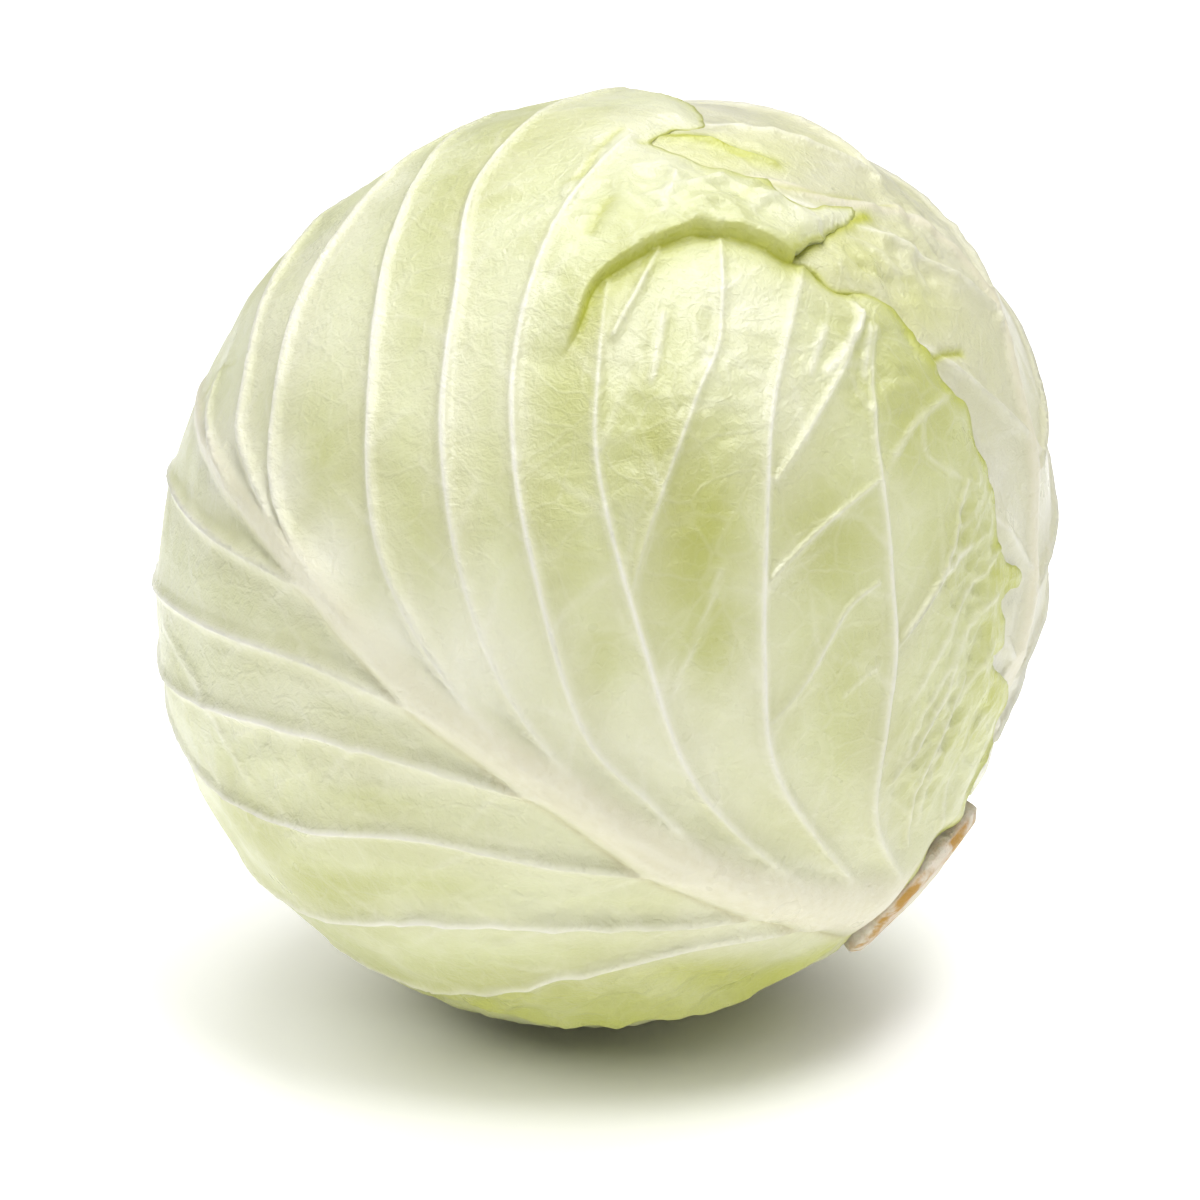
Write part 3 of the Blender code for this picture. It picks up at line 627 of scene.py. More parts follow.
def inner_radius(ways, depths, index):
    """The inner face of a leaf: on the heart and the leaves under it, with a lifted margin."""
    radius = heart_radius(ways, depths) + GAP
    for depth in depths[:index]:
        radius = radius + (BLADE + GAP) * smooth((depth + TENT_END) / (TENT_END - TENT_START))
    ruffle = RUFFLE * swell(ways, RUFFLE_SEED + index, RUFFLE_FINENESS)
    lift = (LIFT + ruffle) * (1 - smooth(depths[index] / LIFT_WIDTH))
    curl = 0.7 * swell(ways, 70 + index, 55.0) + 0.3 * swell(ways, 80 + index, 120.0)
    lift = lift + CURL * curl * (1 - smooth(depths[index] / 6.0))
    for depth in depths[index + 1:]:
        lift = lift * (1 - smooth((depth + COVER_START + COVER_WIDTH) / COVER_WIDTH))
    if LEAVES[index].name == "leaf_front":
        flat, facing = sketched(ways)
        held = facing * fields_at(flat, HELD_FIELDS) * (1 - smooth(depths[index] / 12.0))
        lift = lift * (1 - held) - HELD_DROP * held
    return radius + lift


def fields_at(flat, fields):
    """The strongest of some soft oval fields at each point of the sketch."""
    found = np.zeros(len(flat))
    for right, up, wide, tall, amount in fields:
        reach = ((flat[:, 0] - right) / wide) ** 2 + ((flat[:, 1] - up) / tall) ** 2
        found = np.maximum(found, amount * np.exp(-reach))
    return found


# Where the front leaf's margin lies flat on the leaf under it, and by how many millimetres it drops
HELD_FIELDS = ((18.0, 91.0, 18.0, 9.0, 1.0), (50.0, 74.0, 14.0, 10.0, 1.0), (52.0, 60.0, 12.0, 7.0, 0.8))
HELD_DROP = 0.72


class Face:
    """What the outer face of a leaf is made of at each of its points: its relief in
    millimetres, and the masks from 0 to 1 that its material reads."""

    def __init__(self, leaf, ways, depth, net):
        count = len(ways)
        front = leaf.name == "leaf_front"
        relief = np.zeros(count)
        shoulder = np.zeros(count)
        self.rib = np.zeros(count)
        self.skirt = np.zeros(count)
        self.midrib = np.zeros(count)
        self.streak = np.zeros(count)
        self.under = np.zeros(count)
        rolled = np.zeros(count)
        for number, rib in enumerate(leaf.ribs):
            distance, width, height, share = rib.read(ways)
            x = np.clip(np.abs(distance) / width, 0.0, 1.0)
            if number == 0:
                bar = (1 - x**2) ** 0.75
                slope = 0.5 * (1 - x**2) ** 1.6
                slope = slope + 0.5 * (1 - np.clip(-distance / (1.6 * width), 0, 1) ** 2) ** 2
                profile = np.where(distance > 0, bar, slope) if front else (1 - x**2) ** 1.2
                streak = np.sin(5.1 * distance + 2.0 * np.sin(9 * share)) + np.sin(8.3 * distance + 3.0)
                edge = (1 - x) ** 0.5
                relief = np.maximum(relief, height * profile + 0.03 * streak * edge)
                if front:
                    # Painted shadow: the under mask darkens the colour along the midrib's lower edge, beside a
                    # real groove in the relief.
                    thick = smooth((width - 3.0) / 3.0)
                    self.under = thick * np.exp(-((distance / width - 0.98) / 0.13) ** 2)
                    relief = relief - 0.5 * thick * np.exp(-((distance / width - 1.2) / 0.25) ** 2)
                self.streak = 0.5 + 0.25 * streak
                self.midrib = np.maximum(self.midrib, smooth((1.10 - x) / 0.7))
                reach = np.where(distance > 0, 1.3, 1.0) if front else 1.0
                wide = np.clip(np.abs(distance) * reach / (width * 1.4 + 16.0 * (1 - share) + 3.0), 0, 1)
                self.skirt = np.maximum(self.skirt, (1 - wide) ** 1.3)
                continue
            crest = np.exp(-(distance / (0.36 * width)) ** 2)
            profile = 0.65 * crest + 0.45 * (1 - x**2) ** 1.5
            relief = np.maximum(relief, height * profile)
            if number == len(leaf.ribs) - 1 and leaf.name in ("leaf_front", "leaf_right"):
                rolled = np.exp(-(distance / width) ** 2)
                continue
            strength = np.clip(height / 1.1, 0.2, 1.2)
            shoulder = np.maximum(shoulder, strength * np.exp(-np.abs(distance) / 5.0))
            clear = np.clip(strength, 0, 1) * (0.35 + 0.65 * smooth(share / 0.55))
            self.rib = np.maximum(self.rib, clear * np.exp(-(distance / (0.34 * width)) ** 2))
            spread = 1.6 * width + 7.0 * (1 - share)
            near = (0.15 + 0.55 * (1 - share)) * np.exp(-(distance / spread) ** 2)
            self.skirt = np.maximum(self.skirt, near * np.clip(strength, 0, 1))
        relief = relief + 0.9 * shoulder
        distance, size = net.read(ways)
        inside = smooth(depth / 4.0)
        self.branch = size * np.exp(-(distance / 0.7) ** 2) * (1 - self.midrib) * (0.3 + 0.7 * inside)
        relief = relief + 0.14 * self.branch
        # This mask paints yellow-green shadow lines into the colour under fold lips, along creases and on held
        # margin rims, and also carries the real yellow-green of the margin tabs.
        self.painted_shadow_and_tabs = np.zeros(count)
        for fold in leaf.folds:
            relief = relief + fold.relief(ways)
            distance, height, share = fold.read(ways)
            # Painted shadow: a narrow yellow-green band just in front of each fold's lip, and a fainter wash of
            # painted shade below it.
            before = np.exp(-((distance + 0.9) / 1.2) ** 2)
            self.painted_shadow_and_tabs = np.maximum(self.painted_shadow_and_tabs, before * smooth(height / 1.5))
            painted_fold_shade = 0.35 * np.exp(-((distance + 3.0) / 3.0) ** 2) * (distance < 0)
            self.painted_shadow_and_tabs = np.maximum(self.painted_shadow_and_tabs, painted_fold_shade * smooth(height / 1.5))
        crinkle = 0.6 * swell(ways, 40 + leaf.seed, 90.0, 12) + 0.4 * swell(ways, 45 + leaf.seed, 210.0, 16)
        calm = 1 - np.clip(self.midrib + self.rib, 0, 1)
        relief = relief + CRINKLE * crinkle * calm * (0.4 + 0.6 * smooth(swell(ways, 60, 5.0) + 0.5))
        pucker = 0.5 * swell(ways, 30 + leaf.seed, 30.0, 8) + 0.5 * swell(ways, 35 + leaf.seed, 50.0, 8)
        relief = relief + PUCKER * pucker * calm
        self.relief = relief
        self.depth = depth
        self.margin = np.maximum(1 - smooth(depth / 5.5), rolled)
        self.edge = 1 - smooth(depth / 1.2)
        self.olive = np.zeros(count)
        self.pale = np.zeros(count)
        if front:
            base = np.arccos(np.clip(ways @ STALK, -1, 1)) / DEGREE - BASE_CLEARANCE_DEG
            self.relief = self.relief * (0.2 + 0.8 * smooth(base / 9.0))


def dress_seen(leaf, ways, face):
    """Colour fields and crumpled places of a leaf that the photo shows, placed in the sketch."""
    flat, facing = sketched(ways)
    for right, up, wide, tall, amount in CRUMPLED_FIELDS[leaf.name]:
        reach = ((flat[:, 0] - right) / wide) ** 2 + ((flat[:, 1] - up) / tall) ** 2
        ridges = 0.65 * np.abs(swell(ways, 210, 34.0, 5)) + 0.35 * np.abs(swell(ways, 211, 70.0, 5))
        face.relief = face.relief + 1.7 * amount * facing * np.exp(-(reach**2)) * (0.45 - ridges)
    # A crease with a tint above 0 paints a yellow-green shadow line into the colour; one below 0 gives it white
    # vein colour.
    for line, width, rise, tint in CREASES[leaf.name]:
        distance, share = nearest(ways, curve(cast(line), LINE_STEP))
        ends = facing * smooth(share / 0.12) * smooth((1 - share) / 0.12)
        band = ends * np.exp(-(distance / width) ** 2)
        face.relief = face.relief + rise * band
        face.painted_shadow_and_tabs = np.maximum(face.painted_shadow_and_tabs, tint * band)
        if tint < 0:
            face.rib = np.maximum(face.rib, -tint * band)
    face.olive = facing * fields_at(flat, GREEN_FIELDS[leaf.name])
    if leaf.name != "leaf_front":
        return
    held = facing * fields_at(flat, HELD_FIELDS)
    face.relief = face.relief * (1 - 0.65 * held * (1 - smooth(face.depth / 3.0)))
    # Painted shadow: the rim where the margin lies flat on the leaf below gets the yellow-green shadow colour of
    # the gap.
    face.painted_shadow_and_tabs = np.maximum(face.painted_shadow_and_tabs, 0.9 * held * face.edge)
    face.margin = face.margin * (1 - 0.85 * held)
    face.edge = face.edge * (1 - 0.7 * held)
    # Pale fields: real paler zones, and a painted highlight along the upper edge of the midrib's left part, where
    # the midrib's own colour is also weakened.
    face.pale = facing * np.maximum(fields_at(flat, PALE_AND_HIGHLIGHT_FIELDS), 0.75 * held)
    face.midrib = face.midrib * (1 - 0.65 * face.pale)
    face.painted_shadow_and_tabs = np.maximum(face.painted_shadow_and_tabs, facing * fields_at(flat, TAB_FIELDS))
    away = flat - PLEATS_AT
    across = away @ PLEATS_ACROSS
    along = away @ (PLEATS_ACROSS[1], -PLEATS_ACROSS[0])
    near = facing * np.exp(-((across / 13.0) ** 4) - (along / 24.0) ** 4)
    wave = np.sin(1.25 * across + 0.9 * np.sin(0.16 * along) + 1.3 * swell(ways, 77, 22.0))
    face.relief = face.relief + 0.38 * near * wave


# Crumpled places in the sketch: right, up, half width, half height, height of the ridges
CRUMPLED_FIELDS = {
    "leaf_front": ((22.0, 78.0, 20.0, 9.0, 1.5), (46.0, 70.0, 8.0, 7.0, 1.2), (62.0, 42.0, 16.0, 12.0, 1.0),
                   (24.0, 42.0, 18.0, 20.0, 0.5), (79.0, -8.0, 7.0, 30.0, 1.1), (70.0, -40.0, 8.0, 16.0, 0.9),
                   (0.0, -94.0, 50.0, 6.0, 1.3), (-10.0, 70.0, 12.0, 14.0, 0.6),
                   (-62.0, -46.0, 26.0, 14.0, 0.7), (-24.0, -76.0, 36.0, 9.0, 0.8), (8.0, 6.0, 22.0, 30.0, 0.35)),
    "leaf_right": ((62.0, 66.0, 16.0, 14.0, 1.1), (26.0, 92.0, 14.0, 5.0, 0.8)),
}

# Creases and narrow shadow lines that the photo shows: a line in the sketch, its half width,
# how far it rises, and its tint: yellow-green above 0, white below 0
# A tint above 0 is painted shadow: a yellow-green line mixed into the leaf's colour.
CREASES = {
    "leaf_front": (
        ([(-9, 80), (-5, 82), (-3, 85), (-1, 88), (2, 91), (5, 93)], 0.9, -0.45, 0.55),
        ([(6, 90), (12, 90.5), (17, 88.5), (22, 86), (27, 84.5)], 0.8, -0.35, 0.6),
        ([(8, 76), (14, 78), (20, 80), (26, 82)], 0.9, 0.55, -0.35),
        ([(12, 72), (14, 78), (16, 83)], 0.8, 0.45, -0.3),
        ([(28, 76), (31, 78), (35, 81)], 0.8, -0.5, 0.25),
        ([(30, 73), (37, 77), (42, 73)], 0.9, 0.6, -0.3),
        ([(42, 77), (45, 73), (47, 70)], 0.8, 0.6, -0.4),
        ([(2, 78), (-1, 73), (-4, 68)], 1.3, -0.6, 0.45),
        ([(-9, 76), (-6, 82), (0, 89)], 1.0, 0.6, -0.3),
        ([(53, 57), (55, 52), (52, 45), (47, 39)], 0.9, 0.7, -0.7),
        ([(57, 51), (57, 46), (56, 38)], 0.8, 0.5, -0.5),
        ([(48, 51), (46, 45), (44, 39)], 0.8, 0.5, -0.5),
        ([(10, 37), (12, 46), (13, 54)], 0.7, 0.4, -0.5),
        ([(63, 57), (66, 51), (68, 45), (72, 40)], 1.0, 0.5, 0.3),
        ([(-89, 35), (-83, 40), (-78, 43)], 0.9, -0.4, 0.2),
        ([(89, 10), (84, 0), (78, -8), (72, -20), (64, -34)], 0.8, 0.5, -0.4),
        ([(86, -6), (80, -12), (75, -22), (68, -34), (63, -46)], 0.8, 0.6, -0.4),
        ([(85, -16), (80, -24), (74, -36), (69, -48), (66, -58)], 0.9, 0.6, -0.35),
        ([(84, -30), (79, -38), (74, -48), (70, -58)], 0.8, 0.5, -0.3),
        ([(80, 4), (74, -2), (70, -8), (63, -18)], 0.8, 0.5, -0.6),
        ([(77, 38), (70, 32), (66, 28), (61, 20)], 0.7, 0.4, -0.4),
        ([(69, 34), (69, 24), (73, 20), (78, 17)], 0.6, 0.35, -0.35),
        ([(26, 0), (22, -12), (18, -21), (14, -31)], 0.6, 0.3, -0.3),
        ([(60, -22), (55, -26), (51, -30)], 0.6, 0.3, -0.3),
        ([(30, 12), (33, 24), (28, 33), (25, 40)], 0.7, -0.35, 0.1),
        ([(-94, -12), (-86, -28), (-74, -50)], 1.6, 0.5, -0.2),
    ),
    "leaf_right": (
        ([(7, 93.5), (12, 92.5), (18, 91.5), (25, 90), (30, 88), (34, 87)], 0.8, -0.5, 0.95),
        ([(34, 83), (40, 81), (48, 79.5), (56, 78), (64, 75)], 0.8, -0.4, 0.5),
        ([(69, 45.5), (72, 44), (75, 45), (79, 45)], 1.0, -0.9, 0.9),
        ([(38, 64), (42, 66.5), (46, 69.5), (50, 72), (55, 74), (59, 75)], 1.8, 0.15, 1.0),
        ([(41, 64), (47, 60), (52, 57), (60, 56)], 1.6, 0.1, 0.8),
        ([(52, 71), (58, 68), (63, 63), (66, 57)], 1.0, 0.5, -0.2),
        ([(60, 73), (66, 66), (71, 57)], 0.9, 0.4, -0.2),
        ([(54, 65), (60, 62), (68, 60)], 0.8, -0.4, 0.2),
    ),
}

# Small bright tabs on the right margin, and the long pleats at the lower right
TAB_FIELDS = ((84.5, -28.5, 4.5, 6.5, 1.0), (86.5, -3.5, 4.0, 4.0, 0.9), (84.5, -15.5, 3.5, 5.0, 0.6),
              (80.0, -37.0, 4.0, 5.0, 0.5), (20.0, -89.0, 20.0, 3.0, 0.4), (-20.0, -93.0, 24.0, 3.0, 0.35))
PLEATS_AT = np.array((74.0, -38.0))
PLEATS_ACROSS = np.array((0.92, -0.39))

# Greener and paler fields of the front leaf in the sketch: right, up, half width, half height, strength
GREEN_FIELDS = {"leaf_right": ((56.0, 68.0, 12.0, 12.0, 1.0), (66.0, 54.0, 9.0, 12.0, 0.9), (28.0, 88.0, 22.0, 6.0, 0.8)), "leaf_front": (
    (18.0, 8.0, 13.0, 22.0, 1.0), (24.0, -16.0, 9.0, 14.0, 0.7), (48.0, 4.0, 14.0, 20.0, 0.8),
    (50.0, -22.0, 12.0, 14.0, 0.55), (12.0, 25.0, 6.0, 8.0, 0.9), (-10.0, -10.0, 8.0, 14.0, 0.6),
    (-36.0, 2.0, 8.0, 18.0, 0.35), (-62.0, 30.0, 8.0, 14.0, 0.5), (-52.0, 16.0, 8.0, 16.0, 0.4),
    (68.0, 30.0, 12.0, 22.0, 0.75), (58.0, 52.0, 14.0, 10.0, 0.55), (72.0, 6.0, 9.0, 26.0, 0.5),
    (-14.0, 88.0, 14.0, 10.0, 0.35), (-34.0, 60.0, 9.0, 26.0, 0.35), (6.0, 62.0, 10.0, 10.0, 0.5),
    (-6.0, 40.0, 8.0, 18.0, 0.4), (14.0, 44.0, 9.0, 14.0, 0.5), (-60.0, -44.0, 22.0, 6.0, 0.45),
    (-70.0, -56.0, 16.0, 7.0, 0.5), (-34.0, -58.0, 22.0, 5.0, 0.3), (-74.0, -26.0, 14.0, 6.0, 0.35),
    (-20.0, -92.0, 44.0, 7.0, 0.9), (24.0, -88.0, 22.0, 5.0, 0.7), (-2.0, -22.0, 6.0, 12.0, 0.6),
    (38.0, -34.0, 8.0, 10.0, 0.35), (-82.0, 6.0, 8.0, 10.0, 0.3), (-14.0, 10.0, 6.0, 14.0, 0.5),
    (62.0, -24.0, 26.0, 28.0, 0.42), (-44.0, -54.0, 34.0, 18.0, 0.4), (-50.0, -70.0, 30.0, 5.0, 0.5), (80.0, 22.0, 8.0, 16.0, 0.6),
)}
# Paler fields: real paler zones, and a painted highlight in the fields along the upper edge of the midrib's left
# part.
PALE_AND_HIGHLIGHT_FIELDS = (
    (-30.0, -22.0, 18.0, 14.0, 0.8), (-44.0, -16.0, 12.0, 9.0, 0.9), (-58.0, 0.0, 8.0, 12.0, 0.9),
    (-70.0, 16.0, 8.0, 12.0, 0.8), (-62.0, 42.0, 14.0, 14.0, 0.3), (-60.0, -28.0, 26.0, 5.0, 0.4),
    (-50.0, -46.0, 30.0, 4.0, 0.4),
    (-78.0, 22.0, 8.0, 12.0, 0.8), (32.0, 52.0, 12.0, 12.0, 0.45), (38.0, 36.0, 10.0, 14.0, 0.5),
    (-30.0, 36.0, 7.0, 26.0, 0.3), (-20.0, 40.0, 6.0, 20.0, 0.3), (-46.0, -30.0, 16.0, 5.0, 0.5),
)


def bare_relief(relief, depths, index):
    for depth in depths[index + 1:]:
        hidden = smooth((depth + COVER_START) / COVER_WIDTH)
        near = smooth((depth + NEAR_WIDTH) / NEAR_WIDTH)
        relief = np.minimum(relief, COVERED_RIB * (1 - hidden) + TALL_RIB * (1 - near))
    return relief


def blade_at(depths, index):
    blade = MARGIN_EDGE + (BLADE - MARGIN_EDGE) * smooth(depths[index] / MARGIN_THIN_WIDTH)
    for depth in depths[index + 1:]:
        blade = np.minimum(blade, BLADE - COVERED_THINNING * smooth(depth / COVER_WIDTH))
    return blade


def placed(ways, radius):
    points = ways * radius[:, None] + MIDDLE
    points[:, 2] = np.maximum(points[:, 2], 0.0)
    return points


def even_directions(step):
    count = int(4 * math.pi * RADIUS_ACROSS**2 / (0.866 * step**2))
    index = np.arange(count) + 0.5
    height = 1 - 2 * index / count
    turn = index * math.pi * (3 - math.sqrt(5))
    across = np.sqrt(1 - height**2)
    return np.stack([across * np.cos(turn), across * np.sin(turn), height], axis=-1)


def triangles(chart, ring, fill):
    """A triangle mesh in the chart inside a ring: its points, ring first, and its faces."""
    points = chart.to_flat(np.vstack([ring, fill]))
    count = len(ring)
    edges = [(i, (i + 1) % count) for i in range(count)]
    result = delaunay_2d_cdt([Vector(p) for p in points], edges, [], 0, 1e-6)
    flat = np.array([tuple(p) for p in result[0]])
    faces = np.array(result[2])
    kept = within(flat[faces].mean(axis=1), chart.to_flat(ring))
    return chart.to_ball(flat), faces[kept]


def new_piece(name, points, faces, material, fields=None):
    mesh = bpy.data.meshes.new(name)
    faces = np.asarray(faces, np.int32)
    mesh.vertices.add(len(points))
    mesh.vertices.foreach_set("co", (np.asarray(points) * MM).astype(np.float32).ravel())
    mesh.loops.add(faces.size)
    mesh.loops.foreach_set("vertex_index", faces.ravel())
    mesh.polygons.add(len(faces))
    mesh.polygons.foreach_set("loop_start", np.arange(len(faces), dtype=np.int32) * 3)
    mesh.update(calc_edges=True)
    mesh.validate()
    mesh.shade_smooth()
    for field, values in (fields or {}).items():
        layer = mesh.attributes.new(field, "FLOAT", "POINT")
        layer.data.foreach_set("value", np.asarray(values, np.float32))
    mesh.materials.append(material)
    piece = bpy.data.objects.new(name, mesh)
    bpy.context.scene.collection.objects.link(piece)
    return piece


FIELDS = ("rib", "skirt", "midrib", "streak", "under", "branch", "painted_shadow_and_tabs", "margin", "edge", "olive", "pale")


def along_forms(leaf, fill, others):
    """Fill points, with those near a rib or fold replaced with points along it."""
    guides = np.vstack([guide for form in [*leaf.ribs, *leaf.folds] for guide in form.guides()])
    _, first = np.unique(np.round(guides * RADIUS_ACROSS / 0.45).astype(int), axis=0, return_index=True)
    guides = guides[np.sort(first)]
    kept = (leaf.depth(guides) > 0.7)
    for other in others:
        kept &= other.depth(guides) < 8.0
    guides = guides[kept]
    gap = np.linalg.norm(fill - guides[closest(fill, guides)], axis=1) * RADIUS_ACROSS
    return np.vstack([fill[gap > 0.55], guides])


def make_leaf(leaf, index, material, fine, fine_depths):
    """The leaf as a closed blade: a fine outer face, a plainer inner face and a rim."""
    covered = np.max([fine_depths[i] for i in range(index + 1, len(LEAVES))] + [np.full(len(fine), -1e3)], axis=0)
    ring = leaf.outline
    own = fine_depths[index]
    close = fine[(own > 0.55 * FINE_STEP) & (covered < 8.0)]
    coarse = even_directions(COARSE_STEP)
    over = [other.depth(coarse) for other in LEAVES[index + 1:]] + [np.full(len(coarse), -1e3)]
    coarse_own = leaf.depth(coarse)
    hidden = coarse[(coarse_own > 2.5) & (np.max(over, axis=0) > 9.0)]
    close = along_forms(leaf, close, LEAVES[index + 1:])
    ways, faces = triangles(leaf.chart, ring, np.vstack([close, hidden]))
    depths = [other.depth(ways) for other in LEAVES]
    depths[index] = np.maximum(depths[index], 0.0)
    net = Net(leaf, 500 + index)
    face = Face(leaf, ways, depths[index], net)
    if leaf.name in CRUMPLED_FIELDS:
        dress_seen(leaf, ways, face)
    outer_radius = inner_radius(ways, depths, index) + blade_at(depths, index)
    outer = placed(ways, outer_radius + bare_relief(face.relief, depths, index))

    back_ways, back_faces = triangles(leaf.chart, ring, coarse[coarse_own > 2.5])
    back_depths = [other.depth(back_ways) for other in LEAVES]
    back_depths[index] = np.maximum(back_depths[index], 0.0)
    inner = placed(back_ways, inner_radius(back_ways, back_depths, index))
    count, rim = len(ways), len(ring)
    i = np.arange(rim)
    j = (i + 1) % rim
    x, y = leaf.chart.to_flat(ring).T
    if (x * np.roll(y, -1) - y * np.roll(x, -1)).sum() < 0:
        i, j = j, i
    sides = np.vstack([np.stack([j, i, i + count], axis=1), np.stack([j, i + count, j + count], axis=1)])
    solid = np.vstack([faces, back_faces[:, ::-1] + count, sides])
    fields = {}
    for field in FIELDS:
        values = getattr(face, field)
        fields[field] = np.concatenate([values, np.zeros(len(inner))])
    fields["inside"] = np.concatenate([np.zeros(count), np.ones(len(inner))])
    piece = new_piece("dressed_" + leaf.name, np.vstack([outer, inner]), solid, material, fields)
    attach(piece, "root")
    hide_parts(leaf.name)
    return piece


class Nodes:
    """Short names for building a material's node tree."""

    def __init__(self, name):
        self.material = bpy.data.materials.new(name)
        self.material.use_nodes = True
        self.tree = self.material.node_tree
        self.shader = self.tree.nodes["Principled BSDF"]
        self.place = self.tree.nodes.new("ShaderNodeTexCoord").outputs["Object"]

    def add(self, kind, **settings):
        node = self.tree.nodes.new(kind)
        for key, value in settings.items():
            setattr(node, key, value)
        return node

    def put(self, socket, value):
        if isinstance(value, bpy.types.NodeSocket):
            self.tree.links.new(value, socket)
        else:
            socket.default_value = value

    def field(self, name):
        return self.add("ShaderNodeAttribute", attribute_name=name).outputs["Fac"]

    def math(self, operation, a, b=0.0, clamp=False):
        node = self.add("ShaderNodeMath", operation=operation, use_clamp=clamp)
        self.put(node.inputs[0], a)
        self.put(node.inputs[1], b)
        return node.outputs[0]

    def range(self, value, low, high, to_low=0.0, to_high=1.0):
        node = self.add("ShaderNodeMapRange", interpolation_type="SMOOTHSTEP")
        for socket, number in zip(node.inputs[:5], (value, low, high, to_low, to_high)):
            self.put(socket, number)
        return node.outputs[0]

    def mix(self, share, a, b):
        node = self.add("ShaderNodeMix", data_type="RGBA")
        self.put(node.inputs["Factor"], share)
        self.put(node.inputs[6], (*a, 1.0) if isinstance(a, tuple) else a)
        self.put(node.inputs[7], (*b, 1.0) if isinstance(b, tuple) else b)
        return node.outputs[2]

    def stretched(self, size):
        node = self.add("ShaderNodeMapping")
        self.put(node.inputs["Vector"], self.place)
        self.put(node.inputs["Scale"], size)
        return node.outputs[0]

    def noise(self, scale, detail=3.0, roughness=0.5, distortion=0.0, place=None):
        node = self.add("ShaderNodeTexNoise")
        self.put(node.inputs["Vector"], place or self.place)
        self.put(node.inputs["Scale"], scale)
        self.put(node.inputs["Detail"], detail)
        self.put(node.inputs["Roughness"], roughness)
        self.put(node.inputs["Distortion"], distortion)
        return node.outputs["Fac"]

    def warped(self, scale, amount):
        """The place, pushed about by a noise, so that cells and lines lose their evenness."""
        noise = self.add("ShaderNodeTexNoise")
        self.put(noise.inputs["Vector"], self.place)
        self.put(noise.inputs["Scale"], scale)
        node = self.add("ShaderNodeVectorMath", operation="MULTIPLY_ADD")
        self.put(node.inputs[0], noise.outputs["Color"])
        self.put(node.inputs[1], (amount,) * 3)
        self.put(node.inputs[2], self.place)
        return node.outputs[0]

    def cells(self, scale, place):
        """Distance to the nearest edge between cells: 0 on the edges."""
        node = self.add("ShaderNodeTexVoronoi", feature="DISTANCE_TO_EDGE")
        self.put(node.inputs["Vector"], place)
        self.put(node.inputs["Scale"], scale)
        return node.outputs["Distance"]

    def bump(self, height, strength, distance, normal=None):
        node = self.add("ShaderNodeBump")
        self.put(node.inputs["Height"], height)
        self.put(node.inputs["Strength"], strength)
        self.put(node.inputs["Distance"], distance)
        if normal is not None:
            self.put(node.inputs["Normal"], normal)
        return node.outputs[0]


def rgb(red, green, blue):
    """A colour as seen, from 0 to 255 a channel, in the linear values that shaders take."""
    return tuple(((c / 255 + 0.055) / 1.055) ** 2.4 if c > 10 else c / 3294.6 for c in (red, green, blue))


